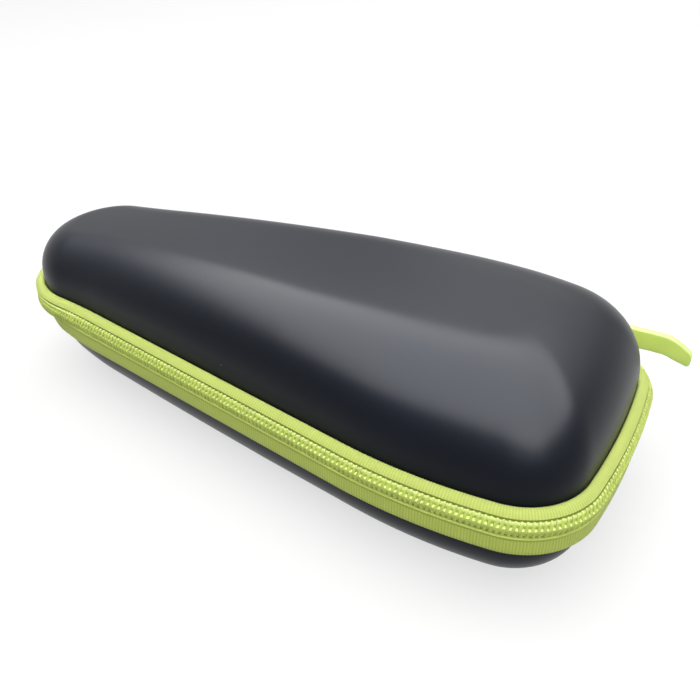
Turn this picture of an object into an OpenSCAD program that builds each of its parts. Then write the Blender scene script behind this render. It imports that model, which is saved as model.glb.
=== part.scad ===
// Zipped hard case for an electric shaver: two moulded clamshell halves, closed by a coil
// zip that runs round three sides, and joined by a fabric hinge on the fourth.
// Frame: +X towards the wide end, +Z up, origin on the table under the middle of the length.
// The near side is -Y and the hinge side is +Y. Millimetres and degrees.
// An inset is measured inwards from the outermost face of the zip band, along its normal.

/* [Outline] */
// Length over the zip band
case_length = 205; // [185:1:240]
// Radius of the narrow end
narrow_radius = 27.4; // [24:0.2:32]
// Radius of the two corners at the wide end
corner_radius = 23.3; // [19:0.1:26]
// Radius of the bowed wide end
end_radius = 228; // [180:1:300]
// Radius of the bowed sides next to the wide end
side_radius = 158; // [130:1:200]
// Distance of each corner's centre from the middle line
corner_offset = 20.3; // [18:0.1:24]
// Direction in which a corner runs into its side
corner_angle = 81.9; // [79:0.1:84]

/* [Shells] */
// Thickness of a moulded half's wall
wall = 3.5; // [2.5:0.1:4.5]
// Inset of the upper half's wall
upper_inset = 4.2; // [3.9:0.1:5]
// Inset of the lower half's wall
lower_inset = 3.5; // [3.2:0.1:3.8]
// Height of the parting plane
parting_z = 29.5; // [27:0.1:32]
// Height of the upper half's edge over the parting plane
upper_edge = 2.6; // [2.5:0.1:3]
// Height of the lid's top at the narrow end
top_narrow = 47.2; // [46:0.1:50]
// Height of the lid's top at the wide end
top_wide = 60; // [57:0.1:63]
// Rise of the top between its two ends
top_bow = 4.6; // [3:0.1:7]
// Extra height of the top along its middle line
top_crown = 0.9; // [0:0.1:2]
// Radius of the top's edge at the narrow end
top_edge_narrow = 12; // [9:0.1:13.5]
// Radius of the top's edge at the wide end
top_edge_wide = 22.5; // [20:0.1:26]
// Height of the upright band under the flange at the narrow end; the bottom's edge is below it
bottom_band_narrow = 1.2; // [0.8:0.1:4]
// Height of the upright band under the flange at the wide end
bottom_band_wide = 5; // [1:0.1:7]
// Lift of the bottom at the narrow end
bottom_lift = 7.5; // [5:0.1:8]
// Share of the length, from the narrow end, over which the bottom lifts
lift_share = 0.45; // [0.3:0.01:0.45]
// Length, from the narrow end, over which the band tilts
tip_length = 40; // [34:1:42]
// How far the band's lower edge draws in at the narrow end
tip_tuck = 3.5; // [2:0.1:4]
// How far the lid's edge stands out at the narrow end
tip_flare = 2; // [1:0.1:2.4]
// Inward lean of the walls, per millimetre of height
draft = 0.03; // [0.01:0.005:0.05]
// Thickness of the fabric linings
lining = 0.8; // [0.6:0.1:1.2]
// Thickness of a glued or sewn joint
glue = 0.1; // [0.05:0.01:0.12]

/* [Zip] */
// Thickness of the zip tapes and of the hinge cloth
tape = 0.6; // [0.5:0.05:0.7]
// Inset of the lower tape's outer face
tape_inset = 0.4; // [0.35:0.05:0.5]
// Height of the lower shell's flange under the zip
flange_height = 4; // [3:0.1:4.1]
// Height of one row of coil
coil_height = 2.55; // [2.4:0.05:2.6]
// Length along the zip of one coil tooth and its gap
coil_pitch = 2.5; // [2:0.1:3.5]
// How far a tooth reaches past the parting plane
coil_bite = 0.3; // [0.1:0.05:0.4]
// How far the coil stands out past the band
coil_crest = 0.3; // [0.1:0.05:0.4]
// Clearance between the two rows of coil
coil_gap = 0.3; // [0.2:0.05:0.4]
// Length of zip between the narrow end's curve and the hinge
zip_tail = 14; // [8:1:24]
// Width of the sewn binding inside each rim
binding_height = 5.7; // [4:0.1:7]

/* [Slider and pull] */
// Direction of the parked slider, seen from the side curve's centre
slider_at = 92.5; // [92:0.1:93]
// Length of the slider
slider_length = 12.6; // [11.5:0.1:13]
// Width of the slider's outer plate
slider_width = 8.8; // [8.6:0.1:9]
// Width of the slider's inner plate
slider_inner_width = 7.2; // [6.8:0.1:7.3]
// Thickness of the slider's plates
plate = 1.1; // [0.9:0.05:1.15]
// Clearance of the slider round the coil
slider_fit = 0.4; // [0.3:0.05:0.45]
// Diameter of the pull's pin
pin_d = 1.3; // [1.1:0.05:1.4]
// Clearance of the pin under its bridge
pin_fit = 0.35; // [0.25:0.05:0.4]
// Extra lift of the pin, which lets the link swing clear of the slider
pin_lift = 0.3; // [0.25:0.05:0.4]
// Length of the link between the slider and the tab
link_length = 9; // [8:0.1:11]
// Length of the soft tab
tab_length = 47; // [36:1:48]
// Height of the soft tab
tab_height = 6.6; // [5:0.1:6.6]
// How far the soft tab hangs down at its tip
tab_sag = 2.2; // [0:0.1:3]
// Thickness of the soft tab
tab_thick = 2.3; // [2:0.1:2.6]

/* [Inside] */
// Width of the elastic strap
strap_width = 22; // [14:1:30]
// Thickness of the elastic strap
strap_thick = 1.2; // [0.8:0.1:1.6]
// Position of the strap along the case
strap_x = -22; // [-36:1:-10]
// Height of the strap's middle under the parting plane
strap_drop = 3; // [2:0.1:5]
// Position of the pocket's mouth along the case
pocket_x = 24; // [0:1:34]
// Height of the net over the parting plane, at the narrow end
pocket_rise = 6.8; // [6.4:0.1:8]
// Pitch of the net's mesh
mesh_pitch = 7; // [6:0.5:12]
// Width of the net's cords
mesh_cord = 1.6; // [1.2:0.1:2.4]
// Height of the elastic hem at the pocket's mouth
hem_height = 4; // [3:0.5:6]

/* [Hidden] */
$fn = 48;
soft_black = "#1c1e22";
lining_grey = "#3a3d42";
lime = "#b9cf5e";

flange_z = parting_z - coil_height - 1.65 - flange_height;

// Outline: tangent arcs, from the wide end's middle round to the narrow end's middle
xe = case_length / 2;
end_turn = asin(corner_offset / (end_radius - corner_radius));
c_end = [xe - end_radius, 0];
c_corner = c_end + (end_radius - corner_radius) * [cos(end_turn), sin(end_turn)];
c_side = c_corner - (side_radius - corner_radius) * [cos(corner_angle), sin(corner_angle)];
c_narrow = [-xe + narrow_radius, 0];
reach = norm(c_side - c_narrow);
lean = atan2((c_side - c_narrow)[1], (c_side - c_narrow)[0]);
side_angle = lean + acos((narrow_radius - side_radius) / reach);
wide_foot = c_side + side_radius * [cos(side_angle), sin(side_angle)];
narrow_foot = c_narrow + narrow_radius * [cos(side_angle), sin(side_angle)];
straight = norm(wide_foot - narrow_foot);
tail_end = narrow_foot + (wide_foot - narrow_foot) * zip_tail / straight;
spine_x = xe - 40;

function flip(p) = [p[0], -p[1]];
function on_arc(c, r, a) = [c[0] + r * cos(a), c[1] + r * sin(a), a];
function arc_run(c, r, a0, a1, n) = [for (i = [0 : n - 1]) on_arc(c, r, a0 + (a1 - a0) * i / n)];
function line_run(p, q, a, n) =
  [for (i = [0 : n - 1]) [p[0] + (q[0] - p[0]) * i / n, p[1] + (q[1] - p[1]) * i / n, a]];

n_end = 2;
n_corner = 7;
n_side = 4;
n_straight = 4;
n_narrow = 8;
half_run = concat(
  arc_run(c_end, end_radius, 0, end_turn, n_end),
  arc_run(c_corner, corner_radius, end_turn, corner_angle, n_corner),
  arc_run(c_side, side_radius, corner_angle, side_angle, n_side),
  line_run(wide_foot, tail_end, side_angle, n_straight),
  line_run(tail_end, narrow_foot, side_angle, 1),
  arc_run(c_narrow, narrow_radius, side_angle, 180, n_narrow),
  [on_arc(c_narrow, narrow_radius, 180)]);
n_half = len(half_run) - 1;
loop = concat(half_run, [for (i = [n_half - 1 : -1 : 1])
  [half_run[i][0], -half_run[i][1], -half_run[i][2]]]);

// A point at an inset from the outline. Round the narrow end the whole band tilts.
function ease(t) = let (u = min(1, max(0, t))) u * u * (3 - 2 * u);
function tip(x) = ease((tip_length - xe - x) / tip_length);
function tilt(z) = z < parting_z ? tip_tuck * min(1, (parting_z - z) / (parting_z - flange_z))
  : -tip_flare * min(1, (z - parting_z) / upper_edge);
function at(s, d, z) = let (e = d + tip(s[0]) * tilt(z))
  [s[0] - e * cos(s[2]), s[1] - e * sin(s[2]), z];
// The point on the middle line that a wall's rounded edge leans towards
function foot_x(s, i) = i <= n_end + n_corner || i >= len(loop) - n_end - n_corner
  ? spine_x : i == n_half ? c_narrow[0] : min(spine_x, s[0] - s[1] * cos(s[2]) / sin(s[2]));
// A point moved in from the wall: the further off the middle line, the further it goes
edge_reach = xe - upper_inset - spine_x;
function towards(s, i, d, run, z) =
  let (p = at(s, d, z), v = [foot_x(s, i) - p[0], -p[1]],
    share = run * max(1, norm(v) / edge_reach) / norm(v))
  [p[0] + v[0] * share, p[1] + v[1] * share];

function along(x) = (x + xe) / case_length;
// Half the width along a straight side, and along its line drawn on past its ends
function side_y(x) = let (t = (x - narrow_foot[0]) / (wide_foot[0] - narrow_foot[0]))
  narrow_foot[1] + (wide_foot[1] - narrow_foot[1]) * t;
function top_z(x) = let (s = along(x))
  top_narrow + (top_wide - top_narrow) * s + 4 * top_bow * s * (1 - s);
function crown(p) = top_crown * (1 - pow(p[1] / side_y(p[0]), 2));
function top_r(x) = top_edge_narrow + (top_edge_wide - top_edge_narrow) * along(x);
function bottom_z(x) = bottom_lift * pow(max(0, (lift_share - along(x)) / lift_share), 2);
function bottom_r(x) = flange_z - bottom_z(x)
  - bottom_band_narrow - (bottom_band_wide - bottom_band_narrow) * along(x);

// Rings of the upper half: off is the depth below its outer skin, k the angle round its edge
edge_z = parting_z + upper_edge;
function upper_base(off, z) = [for (s = loop) at(s, upper_inset + off, z)];
function upper_ring(off, k) = [for (i = [0 : len(loop) - 1])
  let (s = loop[i], r = top_r(s[0]) - off,
    d = upper_inset + off + draft * (top_z(s[0]) - top_r(s[0]) - edge_z),
    p = towards(s, i, d, r * (1 - cos(k)), top_z(s[0])))
  [p[0], p[1], top_z(p[0]) + crown(p) - off - r * (1 - sin(k))]];
// Rings of the lower half
function lower_base(d, z) = [for (s = loop) at(s, d, z)];
function lower_ring(off, k) = [for (i = [0 : len(loop) - 1])
  let (s = loop[i], r = bottom_r(s[0]) - off,
    d = lower_inset + off + draft * (flange_z - bottom_z(s[0]) - bottom_r(s[0])),
    p = towards(s, i, d, r * (1 - cos(k)), 0))
  [p[0], p[1], bottom_z(p[0]) + off + r * (1 - sin(k))]];

// A closed skin over rings: the first and last are capped across the middle line. A lining
// is cut along the other diagonals, so that its faces lie on those of the shell behind it.
module skin(rings, backed = false) {
  n = len(rings[0]);
  m = len(rings);
  h = n / 2;
  last = (m - 1) * n;
  walls = [for (j = [0 : m - 2]) for (i = [0 : n - 1]) let (
      a = j * n + i, b = j * n + (i + 1) % n, c = a + n, d = b + n)
    each backed ? [[a, c, d], [a, d, b]] : [[a, c, b], [b, c, d]]];
  caps = [for (i = [0 : h - 1]) let (a = i, b = i + 1, c = n - i - 1, d = (n - i) % n)
    each concat(
      a == d ? [] : [[a, b, d]], b == c ? [] : [[b, c, d]],
      a == d ? [] : [[last + a, last + d, last + b]],
      b == c ? [] : [[last + b, last + d, last + c]])];
  polyhedron([for (r = rings) each r], concat(walls, caps));
}

// A closed skin over the sections of an open run
module ribbon(sections) {
  n = len(sections[0]);
  m = len(sections);
  walls = [for (j = [0 : m - 2]) for (i = [0 : n - 1]) let (
      a = j * n + i, b = j * n + (i + 1) % n, c = a + n, d = b + n)
    each [[a, c, b], [b, c, d]]];
  ends = [[for (i = [0 : n - 1]) i], [for (i = [n - 1 : -1 : 0]) (m - 1) * n + i]];
  polyhedron([for (s = sections) each s], concat(walls, ends));
}

// The zip's run, clockwise from the parked slider. A leg is [centre, radius, from, to] or
// [start, end, normal's direction].
stop_angle = slider_at + (slider_length / 2 + 0.2 + slider_fit) / side_radius * 180 / PI;
stop_length = 2.2;
legs_round = [
  [c_corner, corner_radius, corner_angle, end_turn],
  [c_end, end_radius, end_turn, -end_turn],
  [flip(c_corner), corner_radius, -end_turn, -corner_angle],
  [flip(c_side), side_radius, -corner_angle, -side_angle],
  [flip(wide_foot), flip(tail_end), -side_angle],
  [flip(tail_end), flip(narrow_foot), -side_angle],
  [c_narrow, narrow_radius, -side_angle, side_angle - 360],
  [narrow_foot, tail_end, side_angle]];
leg_parked = [c_side, side_radius, stop_angle, corner_angle];
leg_side = [c_side, side_radius, side_angle, corner_angle];
leg_hinge = [tail_end, wide_foot, side_angle];

function is_arc(g) = len(g) == 4;
function leg_length(g) = is_arc(g) ? g[1] * abs(g[2] - g[3]) * PI / 180 : norm(g[1] - g[0]);
function leg_at(g, u) = is_arc(g)
  ? on_arc(g[0], g[1], g[2] + (g[3] - g[2]) * u / leg_length(g))
  : [g[0][0] + (g[1] - g[0])[0] * u / leg_length(g),
     g[0][1] + (g[1] - g[0])[1] * u / leg_length(g), g[2]];
function run_at(legs, u, i = 0) = i == len(legs) - 1 || u <= leg_length(legs[i])
  ? leg_at(legs[i], u) : run_at(legs, u - leg_length(legs[i]), i + 1);
function run_length(legs, i = 0) =
  i == len(legs) ? 0 : leg_length(legs[i]) + run_length(legs, i + 1);

// A cloth section, given as [inset, height] points, carried along the stations of some legs
function leg_run(g, n) = is_arc(g) ? arc_run(g[0], g[1], g[2], g[3], n)
  : line_run(g[0], g[1], g[2], n);
function leg_end(g) = is_arc(g) ? on_arc(g[0], g[1], g[3]) : [g[1][0], g[1][1], g[2]];
module cloth(run, points) ribbon([for (s = run) [for (p = points) at(s, p[0], p[1])]]);
run_side = leg_run(leg_side, n_side);
run_round = concat(
  leg_run(legs_round[0], n_corner), leg_run(legs_round[1], 2 * n_end),
  leg_run(legs_round[2], n_corner), leg_run(legs_round[3], n_side),
  leg_run(legs_round[4], n_straight), leg_run(legs_round[5], 1),
  leg_run(legs_round[6], 2 * n_narrow), leg_run(legs_round[7], 1),
  [leg_end(legs_round[7])]);

// Sections of the soft pieces
flange_top = flange_z + flange_height;
cord_z = parting_z - coil_height - 0.05;
web_in = tape_inset + tape;
function lower_section() = [
  [lower_inset - glue, flange_z - glue - tape], [web_in, flange_z - glue - tape],
  [tape_inset, flange_z - glue], [tape_inset, cord_z - 0.4],
  [web_in, cord_z], [web_in, parting_z - 0.9], [web_in + tape, parting_z - 0.9],
  [web_in + tape, flange_top + glue + tape], [web_in, flange_top + glue],
  [web_in, flange_z - glue], [lower_inset - glue, flange_z - glue]];
function upper_section() = [
  [upper_inset - glue, edge_z + 0.95], [upper_inset - 1.2, edge_z + 1],
  [upper_inset - 2.3, edge_z + 0.7], [upper_inset - 2.95, edge_z + 0.2],
  [web_in, edge_z - 0.1], [web_in, parting_z + 0.9],
  [web_in + tape, parting_z + 0.9], [web_in + tape, edge_z - 0.3],
  [upper_inset - 2.2, edge_z + 0.1], [upper_inset - glue, edge_z + 0.95 - tape]];
// The same cloth where it stands clear of the slider's inner plate
slot_z = parting_z + slider_inner_width / 2 + 0.4;
function parked_section() = [
  [upper_inset - glue, slot_z + 0.1 + tape], [upper_inset - 1.2, slot_z + 0.1 + tape],
  [web_in + 0.3, slot_z + tape], [web_in, slot_z + 0.3], [web_in, edge_z],
  [web_in, parting_z + 0.9], [web_in + tape, parting_z + 0.9], [web_in + tape, edge_z],
  [web_in + tape, slot_z], [upper_inset - glue, slot_z + 0.1]];
function mix(a, b, t) = [for (i = [0 : len(a) - 1]) a[i] * (1 - t) + b[i] * t];

module lower_shell() color(soft_black) skin(concat(
  [for (k = [90 : -15 : 0]) lower_ring(0, k)],
  [lower_base(lower_inset, flange_z),
   lower_base(web_in + glue, flange_z), lower_base(web_in + glue, flange_top),
   lower_base(lower_inset + 0.4, flange_top), lower_base(lower_inset + 0.4, rim_z),
   lower_base(lower_inset + wall, rim_z), lower_ring(wall, 0)],
  [for (k = [30 : 30 : 90]) lower_ring(wall, k)]));

module upper_shell() color(soft_black) skin(turned(concat(
  [for (k = [90 : -15 : 0]) upper_ring(0, k)],
  [upper_base(0, edge_z), upper_base(wall, edge_z), upper_ring(wall, 0)],
  [for (k = [30 : 30 : 90]) upper_ring(wall, k)])));

rim_z = parting_z - 0.9;
module lower_lining() color(lining_grey) skin(concat(
  [for (k = [90 : -30 : 0]) lower_ring(wall + glue, k)],
  [lower_base(lower_inset + wall + glue, rim_z),
   lower_base(lower_inset + wall + glue + lining, rim_z)],
  [for (k = [0 : 30 : 90]) lower_ring(wall + glue + lining, k)]), true);

module upper_lining() color(lining_grey) skin(turned(concat(
  [for (k = [90 : -30 : 0]) upper_ring(wall + glue, k)],
  [upper_base(wall + glue, edge_z), upper_base(wall + glue + lining, edge_z)],
  [for (k = [0 : 30 : 90]) upper_ring(wall + glue + lining, k)])), true);

module lower_zip_tape() color(lime) cloth(concat(run_side, run_round), lower_section());

module upper_zip_tape() color(lime) cloth(run_round, turned(upper_section()));

// The lid's cloth beside the parked slider, which stretches when the lid opens
tape_end_steps = 12;
module upper_tape_end() color(lime) ribbon([for (i = [0 : tape_end_steps])
  let (u = i / tape_end_steps, s = leg_at(leg_side, leg_length(leg_side) * (0.005 + 0.99 * u)),
    t = ease(min(u, 1 - u) / 0.16), sec = mix(upper_section(), parked_section(), t))
  [for (p = turned(sec)) at(s, p[0], p[1])]]);

// One row of coil: way is 1 over the parting plane and -1 under it. Every second station is
// the tip of a tooth, and the other row has its gap there. The rows part at the slider's fork.
fork_clear = 0.95;
// Inset of the coil's back, a little in front of the tape's web
coil_back = web_in - 0.15;
function spread(u) = fork_clear * ease((6.2 - u) / 3.1);
function coil(legs, way, lean_in, fork_at) = let (
    total = run_length(legs), n = 2 * round(total / coil_pitch))
  [for (i = [0 : n]) let (
      u = total * i / n, s = run_at(legs, u), tip = i % 2,
      apart = fork_at < 0 ? 0 : spread(u - fork_at),
      low = parting_z + way * (coil_gap / 2 + apart) + (tip == 1 ? -coil_bite : coil_bite),
      top = parting_z + way * coil_height,
      bulge = coil_crest + (tip == 1 ? 0 : -0.12))
    [at(s, -bulge, low), at(s, -bulge * (1 - lean_in), (low + top) / 2),
     at(s, 0.9 * lean_in, top - way * 0.2), at(s, coil_back, top),
     at(s, coil_back, low)]];
function turned(s) = [for (i = [len(s) - 1 : -1 : 0]) s[i]];

module lower_zip_chain() color(lime)
  ribbon([for (s = coil(legs_round, -1, 0.1, -1)) turned(s)]);

// The rows beside the parked slider: they part at its fork, and follow it as it moves
module lower_chain_end() color(lime)
  ribbon([for (s = coil([leg_parked], -1, 0.1, 0)) turned(s)]);

module upper_zip_chain() color(lime)
  ribbon(coil(legs_round, 1, 0.7, -1));

module upper_chain_end() color(lime)
  ribbon(coil([leg_parked], 1, 0.1, 0));

// Crimped stops at the two ends of the coil
module stop(way) color("#8f9a5a") translate([c_side[0], c_side[1], 0])
  rotate([0, 0, stop_angle + 0.02])
    rotate_extrude(angle = stop_length / side_radius * 180 / PI, $fn = 72)
      polygon([
        [side_radius - coil_back, parting_z + way * (fork_clear + 0.1)],
        [side_radius + coil_crest + 0.3, parting_z + way * (fork_clear + 0.1)],
        [side_radius + coil_crest + 0.3, parting_z + way * (coil_height - 0.4)],
        [side_radius + coil_crest, parting_z + way * (coil_height - 0.1)],
        [side_radius - coil_back, parting_z + way * (coil_height - 0.1)]]);
module lower_stop() stop(-1);
module upper_stop() stop(1);
module tail_stop() color("#8f9a5a") {
  span = wide_foot - narrow_foot;
  turn = atan2(span[1], span[0]);
  translate([tail_end[0], tail_end[1], parting_z - coil_height]) rotate([0, 0, turn])
    translate([-stop_length - 0.4, 0.35, 0]) cube([stop_length, 0.6, coil_height - 0.4]);
}

// Cloth hinge over the outside of the straight far side
function strip_section() = [
  [lower_inset - glue, flange_z - glue - tape], [web_in, flange_z - glue - tape],
  [tape_inset, flange_z - glue], [tape_inset, edge_z - 0.2], [web_in + 0.2, edge_z + 0.7],
  [upper_inset - glue, edge_z + 0.95], [upper_inset - glue, edge_z + 0.95 - tape],
  [web_in + 0.5, edge_z + 0.05], [web_in, edge_z - 0.5],
  [web_in, flange_z - glue], [lower_inset - glue, flange_z - glue]];
cloth_gap = 0.2;
hinge_way = (wide_foot - narrow_foot) / straight;
hinge_start = tail_end + hinge_way * cloth_gap;
hinge_end = wide_foot - hinge_way * cloth_gap;
module hinge_strip() color(lime) cloth(concat(
  line_run(hinge_start, hinge_end, side_angle, 2 * n_straight),
  [[hinge_end[0], hinge_end[1], side_angle]]), strip_section());

// Lining cloth over the inside of the hinge
lower_in = lower_inset + wall + glue + lining + 0.2;
upper_in = upper_inset + wall + glue + lining + 0.2;
function facing_section() = [
  [lower_in, rim_z + 0.1 - binding_height], [lower_in, rim_z + 0.2],
  [upper_in, edge_z - 1.9], [upper_in, edge_z + binding_height - 1.8],
  [upper_in + tape, edge_z + binding_height - 1.8], [upper_in + tape, edge_z - 2],
  [lower_in + tape, rim_z + 0.1], [lower_in + tape, rim_z + 0.1 - binding_height]];
facing_stop = corner_angle + cloth_gap / side_radius * 180 / PI;
module hinge_facing() color(lining_grey) cloth(concat(
  [[hinge_start[0], hinge_start[1], side_angle]], run_side,
  [on_arc(c_side, side_radius, facing_stop)]), facing_section());

// Sewn bindings that close the rims inside the zip
function lower_rim() = [
  [lower_inset + 0.5, rim_z + glue], [lower_inset + 0.5, parting_z - 0.15],
  [lower_in + tape, parting_z - 0.15], [lower_in + tape, rim_z - binding_height + 0.7],
  [lower_in, rim_z - binding_height + 0.7], [lower_in, rim_z + glue]];
function upper_rim() = [
  [upper_inset + 0.4, parting_z + 0.15], [upper_in + tape, parting_z + 0.15],
  [upper_in + tape, edge_z + binding_height - 1.8],
  [upper_in, edge_z + binding_height - 1.8], [upper_in, edge_z - glue],
  [upper_inset + 0.4, edge_z - glue]];
module lower_binding() color(lining_grey) cloth(run_round, lower_rim());
module upper_binding() color(lining_grey) cloth(run_round, turned(upper_rim()));

// Elastic strap across the lower half, with an end sewn down on each wall
strap_in = lower_in + tape + 0.1;
strap_z = parting_z - strap_drop;
module strap_end() {
  span = wide_foot - narrow_foot;
  turn = atan2(span[1], span[0]);
  translate([strap_x, side_y(strap_x), 0]) rotate([0, 0, turn])
    translate([-strap_width / 2, -strap_in - strap_thick, strap_z - 10])
      cube([strap_width, strap_thick, 10]);
}
module retaining_strap() color("#2a2c30") {
  y = side_y(strap_x) - strap_in;
  strap_end();
  mirror([0, 1, 0]) strap_end();
  intersection() {
    translate([strap_x - strap_width / 2 - 3, 0, 0]) rotate([90, 0, 90])
      linear_extrude(strap_width + 6)
        polygon([[-y - 4, strap_z - strap_thick], [-y + 8, strap_z - strap_thick + 0.8],
          [0, strap_z - strap_thick + 1.2], [y - 8, strap_z - strap_thick + 0.8],
          [y + 4, strap_z - strap_thick], [y + 4, strap_z], [y - 8, strap_z + 0.8],
          [0, strap_z + 1.2], [-y + 8, strap_z + 0.8], [-y - 4, strap_z]]);
    translate([0, 0, strap_z - 5]) linear_extrude(10) polygon([
      for (e = [1, -1]) for (f = [1, -1]) let (x = strap_x + e * f * strap_width / 2,
          t = (side_y(xe) - side_y(-xe)) / case_length)
        [x, e * (side_y(x) - strap_in - 0.5)]]);
  }
}

// Net pocket under the lid's ceiling, open towards the wide end
net_tilt = atan2(4, 110);
net_x0 = c_narrow[0];
function net_z(x) = parting_z + pocket_rise + (x + xe) * tan(net_tilt);
net_inset = upper_inset + wall + glue + lining + 0.9;
net_edge = concat(
  [[pocket_x, side_y(pocket_x) - net_inset]],
  [for (i = [0 : 12]) let (a = side_angle + (360 - 2 * side_angle) * i / 12)
    [c_narrow[0] + (narrow_radius - net_inset) * cos(a),
     c_narrow[1] + (narrow_radius - net_inset) * sin(a)]],
  [[pocket_x, -side_y(pocket_x) + net_inset]]);
module net_place() multmatrix([
  [1, 0, 0, 0], [0, 1, 0, 0], [tan(net_tilt), 0, 1, net_z(0)], [0, 0, 0, 1]]) children();
module pocket_net() color("#4a4d52") translate([0, 0, net_z(0)]) rotate([0, -net_tilt, 0])
  linear_extrude(0.8) difference() {
    polygon(net_edge);
    for (x = [pocket_x - 7 - mesh_pitch : -mesh_pitch : c_narrow[0] - narrow_radius + net_inset + 5])
      for (k = [-6 : 6]) let (y = k * mesh_pitch, room = mesh_room(x, y))
        if (room) translate([x, y]) square(mesh_pitch - mesh_cord, center = true);
  }
function mesh_room(x, y) = let (h = mesh_pitch / 2 + 1.5)
  x - h > c_narrow[0]
    ? abs(y) + h < side_y(x - h) - net_inset
    : norm([x - h - c_narrow[0], abs(y) + h]) < narrow_radius - net_inset;
module pocket_hem() color("#2a2c30") {
  w = side_y(pocket_x) - net_inset;
  translate([0, 0, net_z(0)]) rotate([0, -net_tilt, 0])
    translate([pocket_x + 0.1, -w, -0.6]) cube([hem_height, 2 * w, 2]);
}

// The slider's own frame: x along the zip towards the closed coil, y outwards, z up
module at_slider() translate([c_side[0], c_side[1], parting_z]) rotate([0, 0, slider_at - 90])
  translate([0, side_radius, 0]) children();
coil_out = coil_crest + slider_fit;
coil_in = web_in + tape + slider_fit;
bridge_y = coil_out + plate;
pin_y = bridge_y + pin_fit + pin_d / 2 + pin_lift;
pin_x = -1;
bridge_t = 0.9;
module plate_outline(w, tail) {
  h = slider_length / 2;
  polygon([[-h, -w / 2 + 1.2], [-h + 0.5, -w / 2 + 0.4], [-h + 1.4, -w / 2],
    [-1, -w / 2], [h - 1.4, -w / 2 + tail], [h - 0.4, -w / 2 + tail + 0.5],
    [h, -w / 2 + tail + 1.4], [h, w / 2 - tail - 1.4], [h - 0.4, w / 2 - tail - 0.5],
    [h - 1.4, w / 2 - tail], [-1, w / 2], [-h + 1.4, w / 2], [-h + 0.5, w / 2 - 0.4],
    [-h, w / 2 - 1.2]]);
}
module plate_at(y, t) translate([0, y + t, 0]) rotate([90, 0, 0]) linear_extrude(t) children();
module zip_slider() color("#2f3136") at_slider() {
  plate_at(coil_out, plate) plate_outline(slider_width, 0.35);
  plate_at(-coil_in - plate, plate) plate_outline(slider_inner_width, 0.2);
  plate_at(-coil_in - 0.1, coil_in + coil_out + 0.2)
    polygon([[-slider_length / 2 + 0.3, 0.3], [-slider_length / 2 + 0.8, 0.5],
      [-slider_length / 2 + 2.2, 0.2], [-slider_length / 2 + 2.2, -0.2],
      [-slider_length / 2 + 0.8, -0.5], [-slider_length / 2 + 0.3, -0.3]]);
  for (e = [1, -1]) intersection() {
    plate_at(coil_out - 0.65, 0.75) plate_outline(slider_width, 0.35);
    translate([-slider_length / 2 + 1.2, coil_out - 1, e > 0 ? slider_width / 2 - 0.85 : -slider_width / 2])
      cube([slider_length - 2.4, 2, 0.85]);
  }
}
module slider_bridge() color("#2f3136") at_slider() translate([pin_x, 0, 0]) {
  inner = pin_d / 2 + pin_fit;
  difference() {
    union() {
      translate([0, pin_y, -1.1]) cylinder(r = inner + bridge_t, h = 2.2);
      translate([-inner - bridge_t, bridge_y + 0.02, -1.1])
        cube([2 * (inner + bridge_t), pin_y - bridge_y, 2.2]);
    }
    translate([0, pin_y, -2]) cylinder(r = inner, h = 4);
    translate([-inner, bridge_y - 1, -2]) cube([2 * inner, pin_y - bridge_y + 1, 4]);
    translate([-5, bridge_y - 2, -3]) cube([10, 2.02, 6]);
  }
}

// The pull's own frame lies along the hinge line at rest: x towards the tab's tip, z up
pull_angle = side_angle - 90;
module at_pull() at_slider() translate([pin_x, pin_y, 0])
  rotate([0, 0, pull_angle - slider_at + 90]) children();
arm_z = 2.1;
module puller_link() color("#2f3136") at_pull() {
  cylinder(d = pin_d, h = 2 * arm_z, center = true);
  for (e = [1, -1]) translate([0, 0, e * arm_z]) {
    translate([0, -pin_d / 2, -pin_d / 2]) cube([link_length, pin_d, pin_d]);
    rotate([90, 0, 0]) cylinder(d = pin_d, h = pin_d, center = true);
  }
  translate([link_length, 0, 0]) cylinder(d = pin_d, h = 2 * arm_z + pin_d, center = true);
}
function sag(u) = tab_sag * pow(u, 0.8) * (0.7 + 0.3 * u);
module pull_tab() color("#b5d64f") at_pull() difference() {
  translate([0, tab_thick / 2, 0]) rotate([90, 0, 0]) linear_extrude(tab_thick) union() {
    polygon(concat(
      [[link_length - 2.2, -1.2], [link_length - 1.4, -2.1 + 0.5]],
      [for (i = [0 : 8]) let (u = i / 8)
        [link_length + 3 + (tab_length - 3.6) * u, -tab_height / 2 - sag(u) - 0.25 * u * u]],
      [[link_length + tab_length, -tab_height / 2 - tab_sag + 0.6],
       [link_length + tab_length, tab_height / 2 - tab_sag - 2.6],
       [link_length + tab_length - 0.5, tab_height / 2 - tab_sag - 1.2],
       [link_length + tab_length - 1.6, tab_height / 2 - tab_sag - 0.4]],
      [for (i = [8 : -1 : 0]) let (u = i / 8)
        [link_length + 3 + (tab_length - 6) * u, tab_height / 2 - sag(u)]],
      [[link_length - 1.4, 2.1 - 0.5],
       [link_length - 2.2, 1.2]]));
  }
  translate([link_length, 0, 0]) cylinder(d = pin_d + 0.3, h = 20, center = true);
  for (e = [0, 1]) mirror([0, 0, e]) translate([link_length - 5, -5, arm_z - pin_d / 2 - 0.15])
    cube([5 + pin_d / 2 + 0.15, 10, 8]);
}

lower_shell();
upper_shell();
lower_lining();
upper_lining();
lower_zip_tape();
upper_zip_tape();
upper_tape_end();
lower_zip_chain();
upper_zip_chain();
lower_chain_end();
upper_chain_end();
lower_stop();
upper_stop();
tail_stop();
hinge_strip();
hinge_facing();
lower_binding();
upper_binding();
retaining_strap();
pocket_net();
pocket_hem();
zip_slider();
slider_bridge();
puller_link();
pull_tab();
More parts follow.
